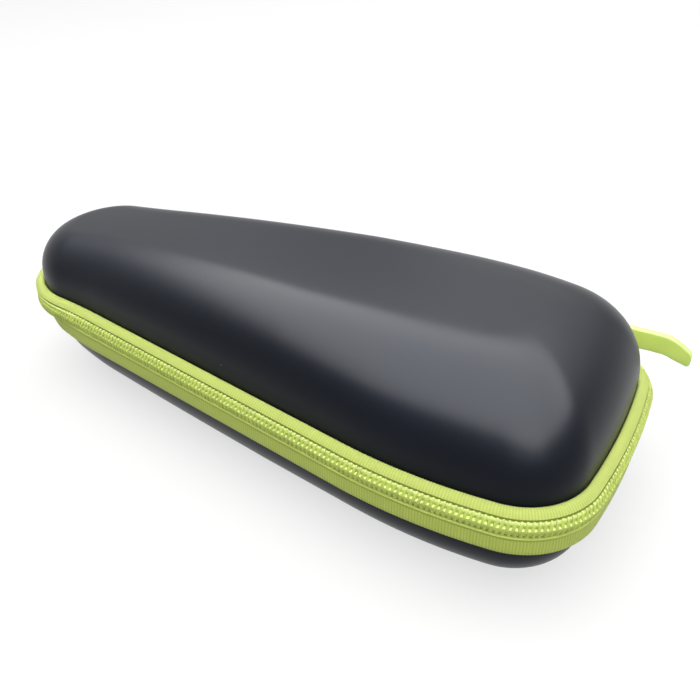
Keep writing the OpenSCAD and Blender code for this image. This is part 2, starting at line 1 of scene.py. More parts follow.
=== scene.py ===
"""Zipped hard case for an electric shaver: its looks, dressed over the given solids.

Sizes are kept in metres in the property groups and worked in millimetres. A station is a
place along the case's outline: [x, y, direction of the outward normal]. An inset is measured
inwards from the zip band's outermost face, and a height upwards from the table.
"""
import math

import bmesh
import bpy
import numpy as np
from mathutils import Matrix, Vector


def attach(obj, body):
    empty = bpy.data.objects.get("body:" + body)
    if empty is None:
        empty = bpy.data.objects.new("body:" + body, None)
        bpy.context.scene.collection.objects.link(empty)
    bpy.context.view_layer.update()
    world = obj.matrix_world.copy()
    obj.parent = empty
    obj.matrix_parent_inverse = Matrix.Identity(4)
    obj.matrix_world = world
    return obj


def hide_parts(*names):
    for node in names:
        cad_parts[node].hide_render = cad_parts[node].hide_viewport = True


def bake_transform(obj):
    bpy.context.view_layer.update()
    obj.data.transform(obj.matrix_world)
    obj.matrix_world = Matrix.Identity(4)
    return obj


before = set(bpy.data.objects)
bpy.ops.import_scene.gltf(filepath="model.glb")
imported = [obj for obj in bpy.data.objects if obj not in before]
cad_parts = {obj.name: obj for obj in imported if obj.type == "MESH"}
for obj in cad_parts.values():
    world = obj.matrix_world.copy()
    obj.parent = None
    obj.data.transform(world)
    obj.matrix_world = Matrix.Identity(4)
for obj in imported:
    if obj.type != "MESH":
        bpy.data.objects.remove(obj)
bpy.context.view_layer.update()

bl_info = {
    "name": "Zipped hard case",
    "version": (1, 0, 0),
    "blender": (4, 5, 0),
    "location": "View3D > Sidebar > Hard case",
    "description": "Dresses a moulded, zipped clamshell case: shells, zip, pull, linings and stage",
    "category": "Object",
}

MM = 0.001

# Near the parked slider the two rows of coil part, in millimetres along the zip and upwards.
FORK_REACH, FORK_RAMP, FORK_LIFT = 6.2, 3.1, 0.95

# The studio: name, power in watts, size, place and aim in metres, and whether only gloss sees it.
LIGHTS = (
    ("overhead_panel", 8.6, (1.35, 1.15), (-0.12, -0.10, 0.90), (0, 0, 0), False),
    ("back_softbox", 2.9, (1.40, 0.50), (0.24, 0.72, 0.55), (0, 0, 0.04), False),
    ("front_fill", 2.3, (0.70, 0.50), (0.48, -0.56, 0.42), (0, 0, 0.03), False),
    ("gloss_card", 250.0, (2.7, 2.3), (0.30, -0.26, 0.92), (0.30, -0.26, 0), True),
)


# ---------------------------------------------------------------- sizes and colours


def length(label, about, value):
    """A size in metres that shows in the sidebar in the scene's units."""
    return bpy.props.FloatProperty(name=label, description=about, default=value * MM,
                                   min=0.0, unit="LENGTH", subtype="DISTANCE", precision=5)


def colour(label, about, value):
    """A linear colour."""
    return bpy.props.FloatVectorProperty(name=label, description=about, default=value,
                                         size=3, min=0.0, max=1.0, subtype="COLOR")


class HARDCASE_PG_outline(bpy.types.PropertyGroup):
    """The plan of the case, as tangent arcs."""
    case_length: length("Length", "Length over the zip band", 205)
    narrow_radius: length("Narrow end", "Radius of the narrow end", 27.4)
    corner_radius: length("Corners", "Radius of the two corners at the wide end", 23.3)
    end_radius: length("Wide end", "Radius of the bowed wide end", 228)
    side_radius: length("Sides", "Radius of the bowed sides next to the wide end", 158)
    corner_offset: length("Corner offset", "Distance of a corner's centre from the middle", 20.3)
    corner_angle: bpy.props.FloatProperty(
        name="Corner angle", description="Direction in which a corner runs into its side",
        default=math.radians(81.9), subtype="ANGLE")
    zip_tail: length("Zip tail", "Zip between the narrow end's curve and the hinge", 14)
    slider_at: bpy.props.FloatProperty(
        name="Slider", description="Direction of the parked slider from its side's centre",
        default=math.radians(92.5), subtype="ANGLE")


class HARDCASE_PG_shells(bpy.types.PropertyGroup):
    """The two moulded halves."""
    wall: length("Wall", "Thickness of a moulded half", 3.5)
    upper_inset: length("Lid inset", "Inset of the lid's wall", 4.2)
    lower_inset: length("Base inset", "Inset of the base's wall", 3.5)
    parting_z: length("Parting plane", "Height of the parting plane", 29.5)
    upper_edge: length("Lid edge", "Height of the lid's edge over the parting plane", 2.6)
    flange_z: length("Flange", "Height of the base's flange", 21.3)
    top_narrow: length("Top, narrow end", "Height of the lid at the narrow end", 47.2)
    top_wide: length("Top, wide end", "Height of the lid at the wide end", 60)
    top_bow: length("Top bow", "Rise of the top between its ends", 4.6)
    top_crown: length("Crown", "Extra height along the middle line", 0.9)
    top_edge_narrow: length("Top edge, narrow end", "Radius of the lid's edge there", 12)
    top_edge_wide: length("Top edge, wide end", "Radius of the lid's edge there", 26)
    bottom_band_narrow: length("Bottom band, narrow end", "Upright band under the flange", 1.2)
    bottom_band_wide: length("Bottom band, wide end", "Upright band under the flange", 3)
    bottom_lift: length("Bottom lift", "Lift of the bottom at the narrow end", 7.5)
    lift_share: bpy.props.FloatProperty(name="Lift share", default=0.45, min=0.1, max=0.6,
                                        description="Share of the length that lifts")
    tip_length: length("Tip", "Length over which the band tilts at the narrow end", 40)
    tip_tuck: length("Tip tuck", "How far the band's lower edge draws in there", 3.5)
    tip_flare: length("Tip flare", "How far the lid's edge stands out there", 2)
    draft: bpy.props.FloatProperty(name="Draft", default=0.03, min=0.0, max=0.1,
                                   description="Inward lean of the walls per unit of height")
    lining: length("Lining", "Thickness of the fabric linings", 0.8)
    glue: length("Glue", "Thickness of a glued joint", 0.1)


class HARDCASE_PG_zip(bpy.types.PropertyGroup):
    """The zip, its cloth and its stitching."""
    tape: length("Tape", "Thickness of the zip tape", 0.6)
    tape_inset: length("Tape inset", "Inset of the lower tape's outer face", 0.4)
    flange_height: length("Flange height", "Height of the flange that carries the tape", 4)
    coil_height: length("Coil height", "Height of one row of coil", 2.55)
    coil_pitch: length("Coil pitch", "Spacing of the coil's turns", 1.44)
    rib_pitch: length("Rib pitch", "Spacing of the ribs woven into the tape", 0.80)
    rib_height: length("Rib height", "How far a rib stands out", 0.10)
    binding_height: length("Binding", "Height of the binding inside each rim", 5.7)
    stitch_pitch: length("Stitch pitch", "Spacing of the stitches", 2.3)
    stitch_length: length("Stitch length", "Length of one stitch", 1.7)


class HARDCASE_PG_colours(bpy.types.PropertyGroup):
    """Colours of the finishes."""
    skin: colour("Shell skin", "Moulded skin of both halves", (0.0016, 0.0031, 0.0076))
    lining: colour("Lining", "Knitted lining", (0.032, 0.034, 0.039))
    binding: colour("Binding", "Rim bindings", (0.016, 0.017, 0.020))
    tape: colour("Zip tape", "Woven zip tape", (0.510, 0.615, 0.105))
    coil: colour("Coil", "Nylon coil", (0.505, 0.612, 0.115))
    tab: colour("Pull tab", "Soft pull tab", (0.640, 0.900, 0.185))
    metal: colour("Slider", "Painted slider, bridge and link", (0.028, 0.030, 0.034))
    elastic: colour("Elastic", "Strap and hem", (0.014, 0.015, 0.017))
    net: colour("Net", "Net pocket's cord", (0.040, 0.042, 0.048))


class HARDCASE_PG_stage(bpy.types.PropertyGroup):
    """The camera."""
    azimuth: bpy.props.FloatProperty(name="Azimuth", default=math.radians(30.489),
                                     subtype="ANGLE", description="Direction of the camera")
    elevation: bpy.props.FloatProperty(name="Elevation", default=math.radians(34.586),
                                       subtype="ANGLE", description="Height of the camera")
    roll: bpy.props.FloatProperty(name="Roll", default=math.radians(-0.177),
                                  subtype="ANGLE", description="Roll of the camera")
    distance: length("Distance", "Distance of the camera from its aim", 259.09)
    lens: bpy.props.FloatProperty(name="Lens", default=42.373, min=10, unit="CAMERA",
                                  description="Focal length on a 36 mm sensor")
    aim: bpy.props.FloatVectorProperty(name="Aim", default=(0.012946, 0.007661, 0.025142),
                                       size=3, subtype="TRANSLATION", unit="LENGTH",
                                       description="Point that the camera looks at")


GROUPS = {
    "outline": HARDCASE_PG_outline,
    "shells": HARDCASE_PG_shells,
    "zip": HARDCASE_PG_zip,
    "colours": HARDCASE_PG_colours,
    "stage": HARDCASE_PG_stage,
}


def group(name):
    """A property group of the scene."""
    return getattr(bpy.context.scene, "hardcase_" + name)


class Sizes:
    """A property group's lengths in millimetres, and its other values as they are."""

    def __init__(self, *names):
        for name in names:
            kind = GROUPS[name]
            values = group(name)
            for key in kind.__annotations__:
                value = getattr(values, key)
                rna = values.bl_rna.properties[key]
                if rna.type == "FLOAT" and not rna.is_array and rna.unit == "LENGTH":
                    value = value / MM
                setattr(self, key, value)


# ---------------------------------------------------------------- outline


def ease(t):
    """0 to 1 with level ends."""
    t = np.clip(t, 0, 1)
    return t * t * (3 - 2 * t)


class Outline:
    """The case's plan, its stations, and points at an inset and height from them."""

    def __init__(self):
        s = self.s = Sizes("outline", "shells", "zip")
        self.xe = s.case_length / 2
        turn = math.asin(s.corner_offset / (s.end_radius - s.corner_radius))
        self.end = np.array([self.xe - s.end_radius, 0])
        self.corner = self.end + (s.end_radius - s.corner_radius) * self.way(turn)
        self.side = self.corner - (s.side_radius - s.corner_radius) * self.way(s.corner_angle)
        self.narrow = np.array([-self.xe + s.narrow_radius, 0])
        over = self.side - self.narrow
        self.side_angle = math.atan2(over[1], over[0]) + math.acos(
            (s.narrow_radius - s.side_radius) / np.linalg.norm(over))
        self.wide_foot = self.side + s.side_radius * self.way(self.side_angle)
        self.narrow_foot = self.narrow + s.narrow_radius * self.way(self.side_angle)
        span = self.wide_foot - self.narrow_foot
        self.straight = np.linalg.norm(span)
        self.hinge_way = span / self.straight
        self.tail_end = self.narrow_foot + self.hinge_way * s.zip_tail
        web_gap, seam_gap, spine, past_slider, fit = 0.9, 0.25, 40, 6.9, 0.2
        self.spine_x = self.xe - spine
        self.edge_z = s.parting_z + s.upper_edge
        self.rim_z, self.web_top = s.parting_z - web_gap, s.parting_z + web_gap
        self.web_in = s.tape_inset + s.tape
        self.cord_z = s.parting_z - 2.94
        self.lower_bind, self.upper_bind = (
            inset + s.wall + s.glue + s.lining + fit for inset in (s.lower_inset, s.upper_inset))
        sa, ca = self.side_angle, s.corner_angle
        arcs = [(self.end, s.end_radius, 0, turn), (self.corner, s.corner_radius, turn, ca),
                (self.side, s.side_radius, ca, sa)]
        far = [(self.wide_foot, self.tail_end, sa), (self.tail_end, self.narrow_foot, sa)]
        tip = (self.narrow, s.narrow_radius, sa, math.pi)
        self.half = arcs + far + [tip]
        mirror = [self.mirrored(leg) for leg in self.half]
        stop = s.slider_at + past_slider / s.side_radius
        seam_turn = seam_gap / s.side_radius
        self.parked = [(self.side, s.side_radius, stop, ca)]
        self.beside = [(self.side, s.side_radius, sa - seam_turn, ca)]
        self.round = [(self.corner, s.corner_radius, ca, turn),
                      (self.end, s.end_radius, turn, -turn),
                      (*mirror[1][:2], -turn, -ca), mirror[2], *mirror[3:5],
                      (self.narrow, s.narrow_radius, -sa, sa - 2 * math.pi),
                      (self.narrow_foot, self.tail_end, sa)]
        self.hinge = [(self.tail_end + self.hinge_way * seam_gap,
                       self.wide_foot - self.hinge_way * seam_gap, sa)]
        self.hinge_side = [self.hinge[0], (self.side, s.side_radius, sa, ca + seam_turn)]

    @staticmethod
    def way(angle):
        """The direction at an angle, of length 1."""
        return np.array([math.cos(angle), math.sin(angle)])

    @staticmethod
    def mirrored(leg):
        """An arc or a straight on the other side of the middle line."""
        if len(leg) == 4:
            return (leg[0] * [1, -1], leg[1], -leg[2], -leg[3])
        return (leg[0] * [1, -1], leg[1] * [1, -1], -leg[2])

    @staticmethod
    def leg_length(leg):
        return leg[1] * abs(leg[3] - leg[2]) if len(leg) == 4 else np.linalg.norm(leg[1] - leg[0])

    def walk(self, legs, step):
        """Stations at about the given step along some legs, and the run to each."""
        rows, runs, done = [], [], 0.0
        for leg in legs:
            size = self.leg_length(leg)
            t = np.arange(max(1, round(size / step))) / max(1, round(size / step))
            rows.append(self.on_leg(leg, t))
            runs.append(done + t * size)
            done += size
        rows.append(self.on_leg(legs[-1], np.array([1.0])))
        runs.append(np.array([done]))
        return np.concatenate(rows), np.concatenate(runs)

    @staticmethod
    def on_leg(leg, t):
        """Stations at shares t of one arc or straight."""
        if len(leg) == 4:
            centre, radius, start, stop = leg
            a = start + (stop - start) * t
            return np.stack([centre[0] + radius * np.cos(a), centre[1] + radius * np.sin(a), a], 1)
        p = leg[0] + (leg[1] - leg[0]) * t[:, None]
        return np.column_stack([p, np.full(len(t), leg[2])])

    def loop(self, step):
        """Stations round the whole case from the wide end's middle, with a mirrored half."""
        half, _ = self.walk(self.half, step)
        half[-1, 1] = 0
        back = half[-2:0:-1] * [1, -1, -1]
        return np.concatenate([half, back])

    def tilt(self, z):
        """How far the band's tilt at the narrow end moves a height inwards."""
        s = self.s
        low = s.tip_tuck * np.minimum(1, (s.parting_z - z) / (s.parting_z - s.flange_z))
        high = -s.tip_flare * np.minimum(1, (z - s.parting_z) / s.upper_edge)
        return np.where(z < s.parting_z, low, high)

    def tip(self, x):
        """1 at the narrow end's tip, 0 where the band no longer tilts."""
        return ease((self.s.tip_length - self.xe - x) / self.s.tip_length)

    def at(self, st, inset, z):
        """Points at an inset and a height beside stations."""
        z = np.asarray(z, float)
        e = inset + self.tip(st[..., 0]) * self.tilt(z)
        x, y = st[..., 0] - e * np.cos(st[..., 2]), st[..., 1] - e * np.sin(st[..., 2])
        return np.stack(np.broadcast_arrays(x, y, z), -1)

    def along(self, x):
        """0 at the narrow end, 1 at the wide end."""
        return (x + self.xe) / self.s.case_length

    def side_y(self, x):
        """Half the width over the straight sides."""
        span = self.wide_foot - self.narrow_foot
        return self.narrow_foot[1] + span[1] / span[0] * (x - self.narrow_foot[0])

    def top_z(self, x):
        """Height of the lid's top along its edge."""
        s, t = self.s, self.along(x)
        return s.top_narrow + (s.top_wide - s.top_narrow) * t + 4 * s.top_bow * t * (1 - t)

    def crown(self, x, y):
        """What the top rises by towards the middle line."""
        return self.s.top_crown * (1 - (y / self.side_y(x)) ** 2)

    def bottom_z(self, x):
        """Height of the base's underside, which lifts towards the narrow end."""
        s = self.s
        return s.bottom_lift * np.maximum(0, (s.lift_share - self.along(x)) / s.lift_share) ** 2

    def foot(self, st):
        """The point on the middle line that each wall's rounded edge leans towards."""
        sine = np.where(np.abs(np.sin(st[:, 2])) < 1e-6, 1, np.sin(st[:, 2]))
        x = np.minimum(self.spine_x, st[:, 0] - st[:, 1] * np.cos(st[:, 2]) / sine)
        x = np.where(st[:, 0] < self.narrow_foot[0], self.narrow[0], x)
        return np.where(st[:, 0] > self.corner[0] + 1e-6, self.spine_x, x)

    def ring(self, st, off, k, upper):
        """One ring of a half: off is the depth under its skin, k the angle round its edge."""
        s, x = self.s, st[:, 0]
        t = self.along(x)
        k = math.radians(k)
        if upper:
            z0 = self.top_z(x)
            r0 = s.top_edge_narrow + (s.top_edge_wide - s.top_edge_narrow) * t
            inset = s.upper_inset + off + s.draft * (z0 - r0 - self.edge_z)
        else:
            z0 = self.bottom_z(x)
            band = s.bottom_band_narrow + (s.bottom_band_wide - s.bottom_band_narrow) * t
            r0 = s.flange_z - z0 - band
            inset = s.lower_inset + off + s.draft * (s.flange_z - z0 - r0)
        r = r0 - off
        p = self.at(st, inset, z0 if upper else 0.0)[:, :2]
        v = np.stack([self.foot(st) - p[:, 0], -p[:, 1]], 1)
        far = np.linalg.norm(v, axis=1)
        reach = self.xe - s.upper_inset - self.spine_x
        share = r * (1 - math.cos(k)) * np.maximum(1, far / reach) / far
        p = p + v * share[:, None]
        if upper:
            z = self.top_z(p[:, 0]) + self.crown(*p.T) - off - r * (1 - math.sin(k))
        else:
            z = self.bottom_z(p[:, 0]) + off + r * (1 - math.sin(k))
        return np.column_stack([p, z])


# ---------------------------------------------------------------- meshes


def make_object(name, mesh):
    """A new object in the scene, at the origin."""
    item = bpy.data.objects.new(name, mesh)
    bpy.context.scene.collection.objects.link(item)
    return item


def build(name, points, faces, uv=None, sharp=40):
    """A smooth-shaded object from points in millimetres, with a UV map in millimetres."""
    mesh = bpy.data.meshes.new(name)
    mesh.from_pydata((np.asarray(points, float).reshape(-1, 3) * MM).tolist(), [], faces)
    if uv is not None:
        layer = mesh.uv_layers.new(name="UVMap")
        index = np.empty(len(mesh.loops), np.int32)
        mesh.loops.foreach_get("vertex_index", index)
        layer.data.foreach_set("uv", np.asarray(uv, np.float32).reshape(-1, 2)[index].ravel())
    bm = bmesh.new()
    bm.from_mesh(mesh)
    bmesh.ops.recalc_face_normals(bm, faces=bm.faces)
    bm.to_mesh(mesh)
    bm.free()
    mesh.shade_smooth()
    mesh.set_sharp_from_angle(angle=math.radians(sharp))
    return make_object(name, mesh)


def loft(name, rings, caps, sharp=40):
    """A closed skin over rings of stations; caps are functions of (x, y) that give the height of
    the first and last ring's cap, which is drawn across the middle line."""
    rings = [np.asarray(r) for r in rings]
    n, m = len(rings[0]), len(rings)
    points = list(np.concatenate(rings))
    gaps = np.linalg.norm(np.diff(np.stack(rings), axis=0), axis=2).mean(1)
    v = np.concatenate([[0], np.cumsum(gaps)])
    step = np.linalg.norm(np.diff(rings[m // 2], axis=0, append=rings[m // 2][:1]), axis=1)
    u = np.concatenate([[0], np.cumsum(step)[:-1]])
    uv = [(u[i], v[j]) for j in range(m) for i in range(n)]
    faces = [[j * n + i, (j + 1) * n + i, (j + 1) * n + (i + 1) % n, j * n + (i + 1) % n]
             for j in range(m - 1) for i in range(n)]
    half, columns = n // 2, 12
    for ring, height, base in ((rings[0], caps[0], 0), (rings[-1], caps[1], (m - 1) * n)):
        grid = [[base] * (columns + 1)]
        for i in range(1, half):
            a, b = ring[i], ring[n - i]
            row = [base + i]
            for c in range(1, columns):
                t = c / columns
                x, y = a[:2] + (b[:2] - a[:2]) * t
                lift = (a[2] - height(a[0], a[1])) * (1 - t) + (b[2] - height(b[0], b[1])) * t
                row.append(len(points))
                points.append([x, y, height(x, y) + lift])
                uv.append((x, y))
            grid.append(row + [base + n - i])
        grid.append([base + half] * (columns + 1))
        for p, q in zip(grid, grid[1:]):
            for c in range(columns):
                corners = list(dict.fromkeys([p[c], p[c + 1], q[c + 1], q[c]]))
                if len(corners) > 2:
                    faces.append(corners)
    return build(name, points, faces, uv, sharp)


def rounded(section, radius, steps=3):
    """A closed section with its corners rounded."""
    out = []
    pts = [np.array(p, float) for p in section]
    for i, p in enumerate(pts):
        a, b = pts[i - 1] - p, pts[(i + 1) % len(pts)] - p
        la, lb = np.linalg.norm(a), np.linalg.norm(b)
        r = min(radius, la * 0.45, lb * 0.45)
        p0, p1 = p + a / la * r, p + b / lb * r
        out += [(1 - t) ** 2 * p0 + 2 * t * (1 - t) * p + t * t * p1
                for t in np.linspace(0, 1, steps + 1)]
    return np.array(out)


def fine(section, step):
    """A closed section with no side longer than the step."""
    out = []
    for i, p in enumerate(section):
        q = section[(i + 1) % len(section)]
        k = max(1, math.ceil(np.linalg.norm(np.subtract(q, p)) / step))
        out += [np.asarray(p) + (np.asarray(q) - p) * j / k for j in range(k)]
    return np.array(out)


def sweep(name, outline, legs, step, section, rib=None, pitch=1.0, tone=None, sharp=50):
    """A closed section of (inset, height) points carried along some legs, or one section for
    each station. rib gives a point of the section how far the ribs lift it, and tone how much
    painted shade (below 0) or painted highlight (above 0) its cloth gets; the ribs add painted
    shade in their troughs and a painted highlight on their tops. The material reads the tone
    from an attribute."""
    st, run = outline.walk(legs, step)
    m = len(st)
    sec = section(run) if callable(section) else np.broadcast_to(
        np.asarray(section, float), (m, *np.shape(section)))
    n = sec.shape[1]
    wide = np.roll(sec, -1, 1) - np.roll(sec, 1, 1)
    first = sec[0]
    area = np.sum(first[:, 0] * np.roll(first[:, 1], -1) - np.roll(first[:, 0], -1) * first[:, 1])
    normal = np.stack([wide[..., 1], -wide[..., 0]], -1) * np.sign(area)
    normal /= np.maximum(np.linalg.norm(normal, axis=2), 1e-9)[..., None]
    wave = (0.5 - 0.5 * np.cos(2 * math.pi * run / pitch))[:, None]
    high = np.array([rib(*p) if rib else 0.0 for p in first])[None]
    look = np.array([tone(*p) if tone else 0.0 for p in first])[None]
    lift = wave * high
    d, z = sec[..., 0] + lift * normal[..., 0], sec[..., 1] + lift * normal[..., 1]
    points = outline.at(st[:, None, :], d, z).reshape(-1, 3)
    # Painted light on the ribs: painted shade in each trough and a painted highlight on each rib's
    # top.
    contrast, shadow = 0.5, 0.27
    tones = look + np.where(high > 0, wave * contrast - shadow, 0.0)
    v = np.concatenate([[0], np.cumsum(np.linalg.norm(np.diff(first, axis=0), axis=1))])
    uv = np.stack(np.broadcast_arrays(run[:, None], v[None]), -1).reshape(-1, 2)
    j, i = np.meshgrid(np.arange(m - 1), np.arange(n), indexing="ij")
    k = (i + 1) % n
    quads = np.stack([j * n + i, j * n + k, (j + 1) * n + k, (j + 1) * n + i], -1).reshape(-1, 4)
    ends = [list(range(n)), [(m - 1) * n + i for i in range(n - 1, -1, -1)]]
    item = build(name, points, quads.tolist() + ends, uv, sharp)
    item.data.attributes.new("tone", "FLOAT", "POINT").data.foreach_set(
        "value", np.broadcast_to(tones, (m, n)).astype(np.float32).ravel())
    return item


def tube(points, radius, sides=8, across=None, wide=1.0):
    """Vertices and faces of a capped tube along a path in millimetres, wider across if asked."""
    pts = np.asarray(points, float)
    along = np.gradient(pts, axis=0)
    along /= np.linalg.norm(along, axis=1)[:, None]
    ref = np.array([0, 0, 1.0]) if abs(along[0][2]) < 0.9 else np.array([1.0, 0, 0])
    r = np.broadcast_to(radius, len(pts))
    verts, faces = [], []
    for p, t, q in zip(pts, along, r):
        a = np.cross(t, ref) if across is None else np.array(across, float)
        a /= np.linalg.norm(a)
        b = np.cross(a, t)
        b /= np.linalg.norm(b)
        for s in range(sides):
            w = 2 * math.pi * s / sides
            verts.append(p + q * (wide * math.cos(w) * a + math.sin(w) * b))
    for j in range(len(pts) - 1):
        for s in range(sides):
            faces.append([j * sides + s, j * sides + (s + 1) % sides,
                          (j + 1) * sides + (s + 1) % sides, (j + 1) * sides + s])
    faces += [list(range(sides))[::-1], [(len(pts) - 1) * sides + s for s in range(sides)]]
    return verts, faces


def dressed(node, name, bevel=0.15, segments=3, angle=30):
    """A copy of one of the given solids, with merged corners and rounded edges."""
    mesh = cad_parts[node].data.copy()
    bm = bmesh.new()
    bm.from_mesh(mesh)
    bmesh.ops.remove_doubles(bm, verts=bm.verts, dist=2e-6)
    bmesh.ops.dissolve_limit(bm, angle_limit=math.radians(1), verts=bm.verts, edges=bm.edges)
    bm.to_mesh(mesh)
    bm.free()
    mesh.materials.clear()
    item = make_object(name, mesh)
    cut = item.modifiers.new("Rounded edges", "BEVEL")
    cut.width, cut.segments, cut.limit_method = bevel * MM, segments, "ANGLE"
    cut.angle_limit, cut.harden_normals = math.radians(angle), False
    applied(item)
    item.data.shade_smooth()
    item.data.set_sharp_from_angle(angle=math.radians(35))
    return item


def applied(item):
    """Makes what the modifiers give the object's own mesh."""
    graph = bpy.context.evaluated_depsgraph_get()
    mesh = bpy.data.meshes.new_from_object(item.evaluated_get(graph))
    item.modifiers.clear()
    item.data = mesh
    return item


# ---------------------------------------------------------------- node trees


class Wire:
    """One value in a node tree. Operators on it add Math nodes."""

    def __init__(self, tree, socket):
        self.tree, self.socket = tree, socket

    def math(self, operation, *values):
        return self.tree.node("ShaderNodeMath", {"operation": operation},
                              dict(enumerate(values)))[0]

    def __add__(self, other):
        return self.math("ADD", self, other)

    def __sub__(self, other):
        return self.math("SUBTRACT", self, other)

    def __mul__(self, other):
        return self.math("MULTIPLY", self, other)

    def __rsub__(self, other):
        return self.math("SUBTRACT", other, self)

    __radd__, __rmul__ = __add__, __mul__

    def sine(self):
        return self.math("SINE", self)

    def within(self, low, high):
        """0 below low, 1 above high."""
        return self.tree.node("ShaderNodeMapRange", {"clamp": True}, {
            "Value": self, "From Min": low, "From Max": high})[0]


class Tree:
    """Builds a shader or geometry tree."""

    def __init__(self, tree):
        self.tree = tree

    def node(self, kind, settings=None, sockets=None):
        """Adds a node, sets its settings, then its sockets, and returns its outputs as wires."""
        made = self.tree.nodes.new(kind)
        for key, value in (settings or {}).items():
            setattr(made, key, value)
        for key, value in (sockets or {}).items():
            socket = made.inputs[key]
            if isinstance(value, Wire):
                self.tree.links.new(value.socket, socket)
            else:
                socket.default_value = value
        return Outputs(made, [Wire(self, socket) for socket in made.outputs])


class Outputs:
    """A node's outputs by name or by place."""

    def __init__(self, made, wires):
        self.made, self.wires = made, wires

    def __getitem__(self, key):
        shown = [w for w in self.wires if w.socket.enabled]
        if isinstance(key, int):
            return shown[key]
        return next(w for w in shown if w.socket.name == key)


class Finish(Tree):
    """A material on a Principled shader."""

    def __init__(self, name, **constants):
        self.material = bpy.data.materials.new(name)
        self.material.use_nodes = True
        super().__init__(self.material.node_tree)
        self.shader = self.tree.nodes["Principled BSDF"]
        for key, value in constants.items():
            self.shader.inputs[key.replace("_", " ")].default_value = value
        coords = self.node("ShaderNodeTexCoord")
        self.place, self.uv = coords["Object"], coords["UV"]

    def set(self, key, wire):
        """Feeds one of the shader's sockets."""
        self.tree.links.new(wire.socket, self.shader.inputs[key])

    def noise(self, scale, detail=2.0, rough=0.5, where=None):
        return self.node("ShaderNodeTexNoise", {}, {
            "Vector": where or self.place, "Scale": scale, "Detail": detail, "Roughness": rough})[0]

    def blend(self, factor, a, b):
        """A colour between a and b."""
        mixed = self.node("ShaderNodeMix", {"data_type": "RGBA"}, {})
        for index, value in ((0, factor), (6, a), (7, b)):
            socket = mixed.made.inputs[index]
            if isinstance(value, Wire):
                self.tree.links.new(value.socket, socket)
            else:
                socket.default_value = (*value, 1) if index else value
        return Wire(self, mixed.made.outputs[2])

    def bump(self, height, depth, strength=1.0):
        """Feeds Normal with a height in 0 to 1 that stands for a depth in millimetres."""
        made = self.node("ShaderNodeBump", {}, {
            "Height": height, "Distance": depth * MM, "Strength": strength})
        self.set("Normal", made["Normal"])


def shade(tone, factor):
    """A lighter or darker colour."""
    return tuple(min(1.0, c * factor) for c in tone)


def skin_finish(name, tone):
    """Thin satin skin over moulded foam, with fine grain, faint haze and a little dust."""
    f = Finish(name, Roughness=0.36, IOR=1.21)
    grain = f.noise(3400, 3.0)
    haze = f.noise(16, 3.0)
    peel = f.noise(160, 2.0)
    cell = f.node("ShaderNodeTexVoronoi", {"feature": "F1"}, {"Vector": f.place, "Scale": 210.0})
    size = f.node("ShaderNodeSeparateColor", {}, {"Color": cell["Color"]})[0]
    speck = cell["Distance"].within(0.055, 0.030) * size.within(0.93, 0.96)
    base = f.blend(haze.within(0.35, 0.7), shade(tone, 0.85), shade(tone, 1.2))
    f.set("Base Color", f.blend(speck * 0.5, base, (0.20, 0.21, 0.20)))
    f.set("Roughness", 0.28 + haze * 0.05 + grain * 0.03 + speck * 0.3)
    f.bump(grain * 0.55 + peel * 0.45, 0.022, 0.5)
    return f.material


def cloth_finish(name, tone, warp=0.42, weft=0.42, depth=0.07, contrast=0.5, relief=False,
                 **constants):
    """Woven or knitted cloth whose threads follow the piece's own UV map, in millimetres. With
    relief, a piece's tone attribute paints shade into its grooves and highlights onto its ribs."""
    f = Finish(name, Roughness=0.8, Specular_IOR_Level=0.16, **constants)
    split = f.node("ShaderNodeSeparateXYZ", {}, {"Vector": f.uv})
    u, v = split[0], split[1]
    wobble = f.noise(1.2, 2.0, where=f.uv)
    over = (u * (2 * math.pi / warp) + wobble * 1.6).sine()
    under = (v * (2 * math.pi / weft) + wobble * 1.2).sine()
    thread = (over * under) * 0.5 + 0.5
    fuzz = f.noise(5200, 3.0, 0.65)
    patch = f.noise(60, 3.0)
    lit = thread * 0.6 + fuzz * 0.4
    dark, light = shade(tone, 1 - contrast * 0.62), shade(tone, 1 + contrast * 0.30)
    mixed = f.blend(lit.within(0.15, 0.85), dark, light)
    base = f.blend(patch.within(0.3, 0.75) * 0.35, mixed, shade(tone, 0.86))
    if relief:
        # Painted light and shade: the tone attribute blends towards a darker colour for painted
        # shade and towards a lighter one for painted highlights.
        painted_light = f.node("ShaderNodeAttribute", {"attribute_name": "tone"})["Fac"]
        groove = tuple(c * k for c, k in zip(tone, (0.42, 0.40, 0.22)))
        painted_highlight = tuple(min(0.95, c * k) for c, k in zip(tone, (1.35, 1.32, 1.75)))
        base = f.blend(painted_light.within(0.0, -1.0), base, groove)
        base = f.blend(painted_light.within(0.0, 1.0), base, painted_highlight)
    f.set("Base Color", base)
    f.set("Roughness", 0.66 + fuzz * 0.22)
    f.bump(thread * 0.65 + fuzz * 0.35, depth, 0.8)
    return f.material


def coil_finish(name, tone):
    """Dyed nylon: slightly glossy turns with darker gaps and uneven dye."""
    f = Finish(name, Roughness=0.5, Specular_IOR_Level=0.3)
    dye = f.noise(420, 3.0)
    fuzz = f.noise(4200, 2.0)
    f.set("Base Color", f.blend(dye.within(0.3, 0.7), shade(tone, 0.88), shade(tone, 1.12)))
    f.set("Roughness", 0.42 + fuzz * 0.2)
    f.bump(fuzz, 0.03, 0.6)
    return f.material


def rubber_finish(name, tone):
    """Soft matt moulding with a fine bloom and faint flow marks."""
    f = Finish(name, Roughness=0.5, Specular_IOR_Level=0.35, Subsurface_Weight=0.35)
    bloom = f.noise(90, 4.0)
    grain = f.noise(2600, 3.0)
    f.set("Base Color", f.blend(bloom.within(0.3, 0.75), shade(tone, 0.9), shade(tone, 1.06)))
    f.set("Roughness", 0.45 + bloom * 0.15 + grain * 0.05)
    f.bump(grain * 0.6 + bloom * 0.4, 0.03, 0.5)
    return f.material


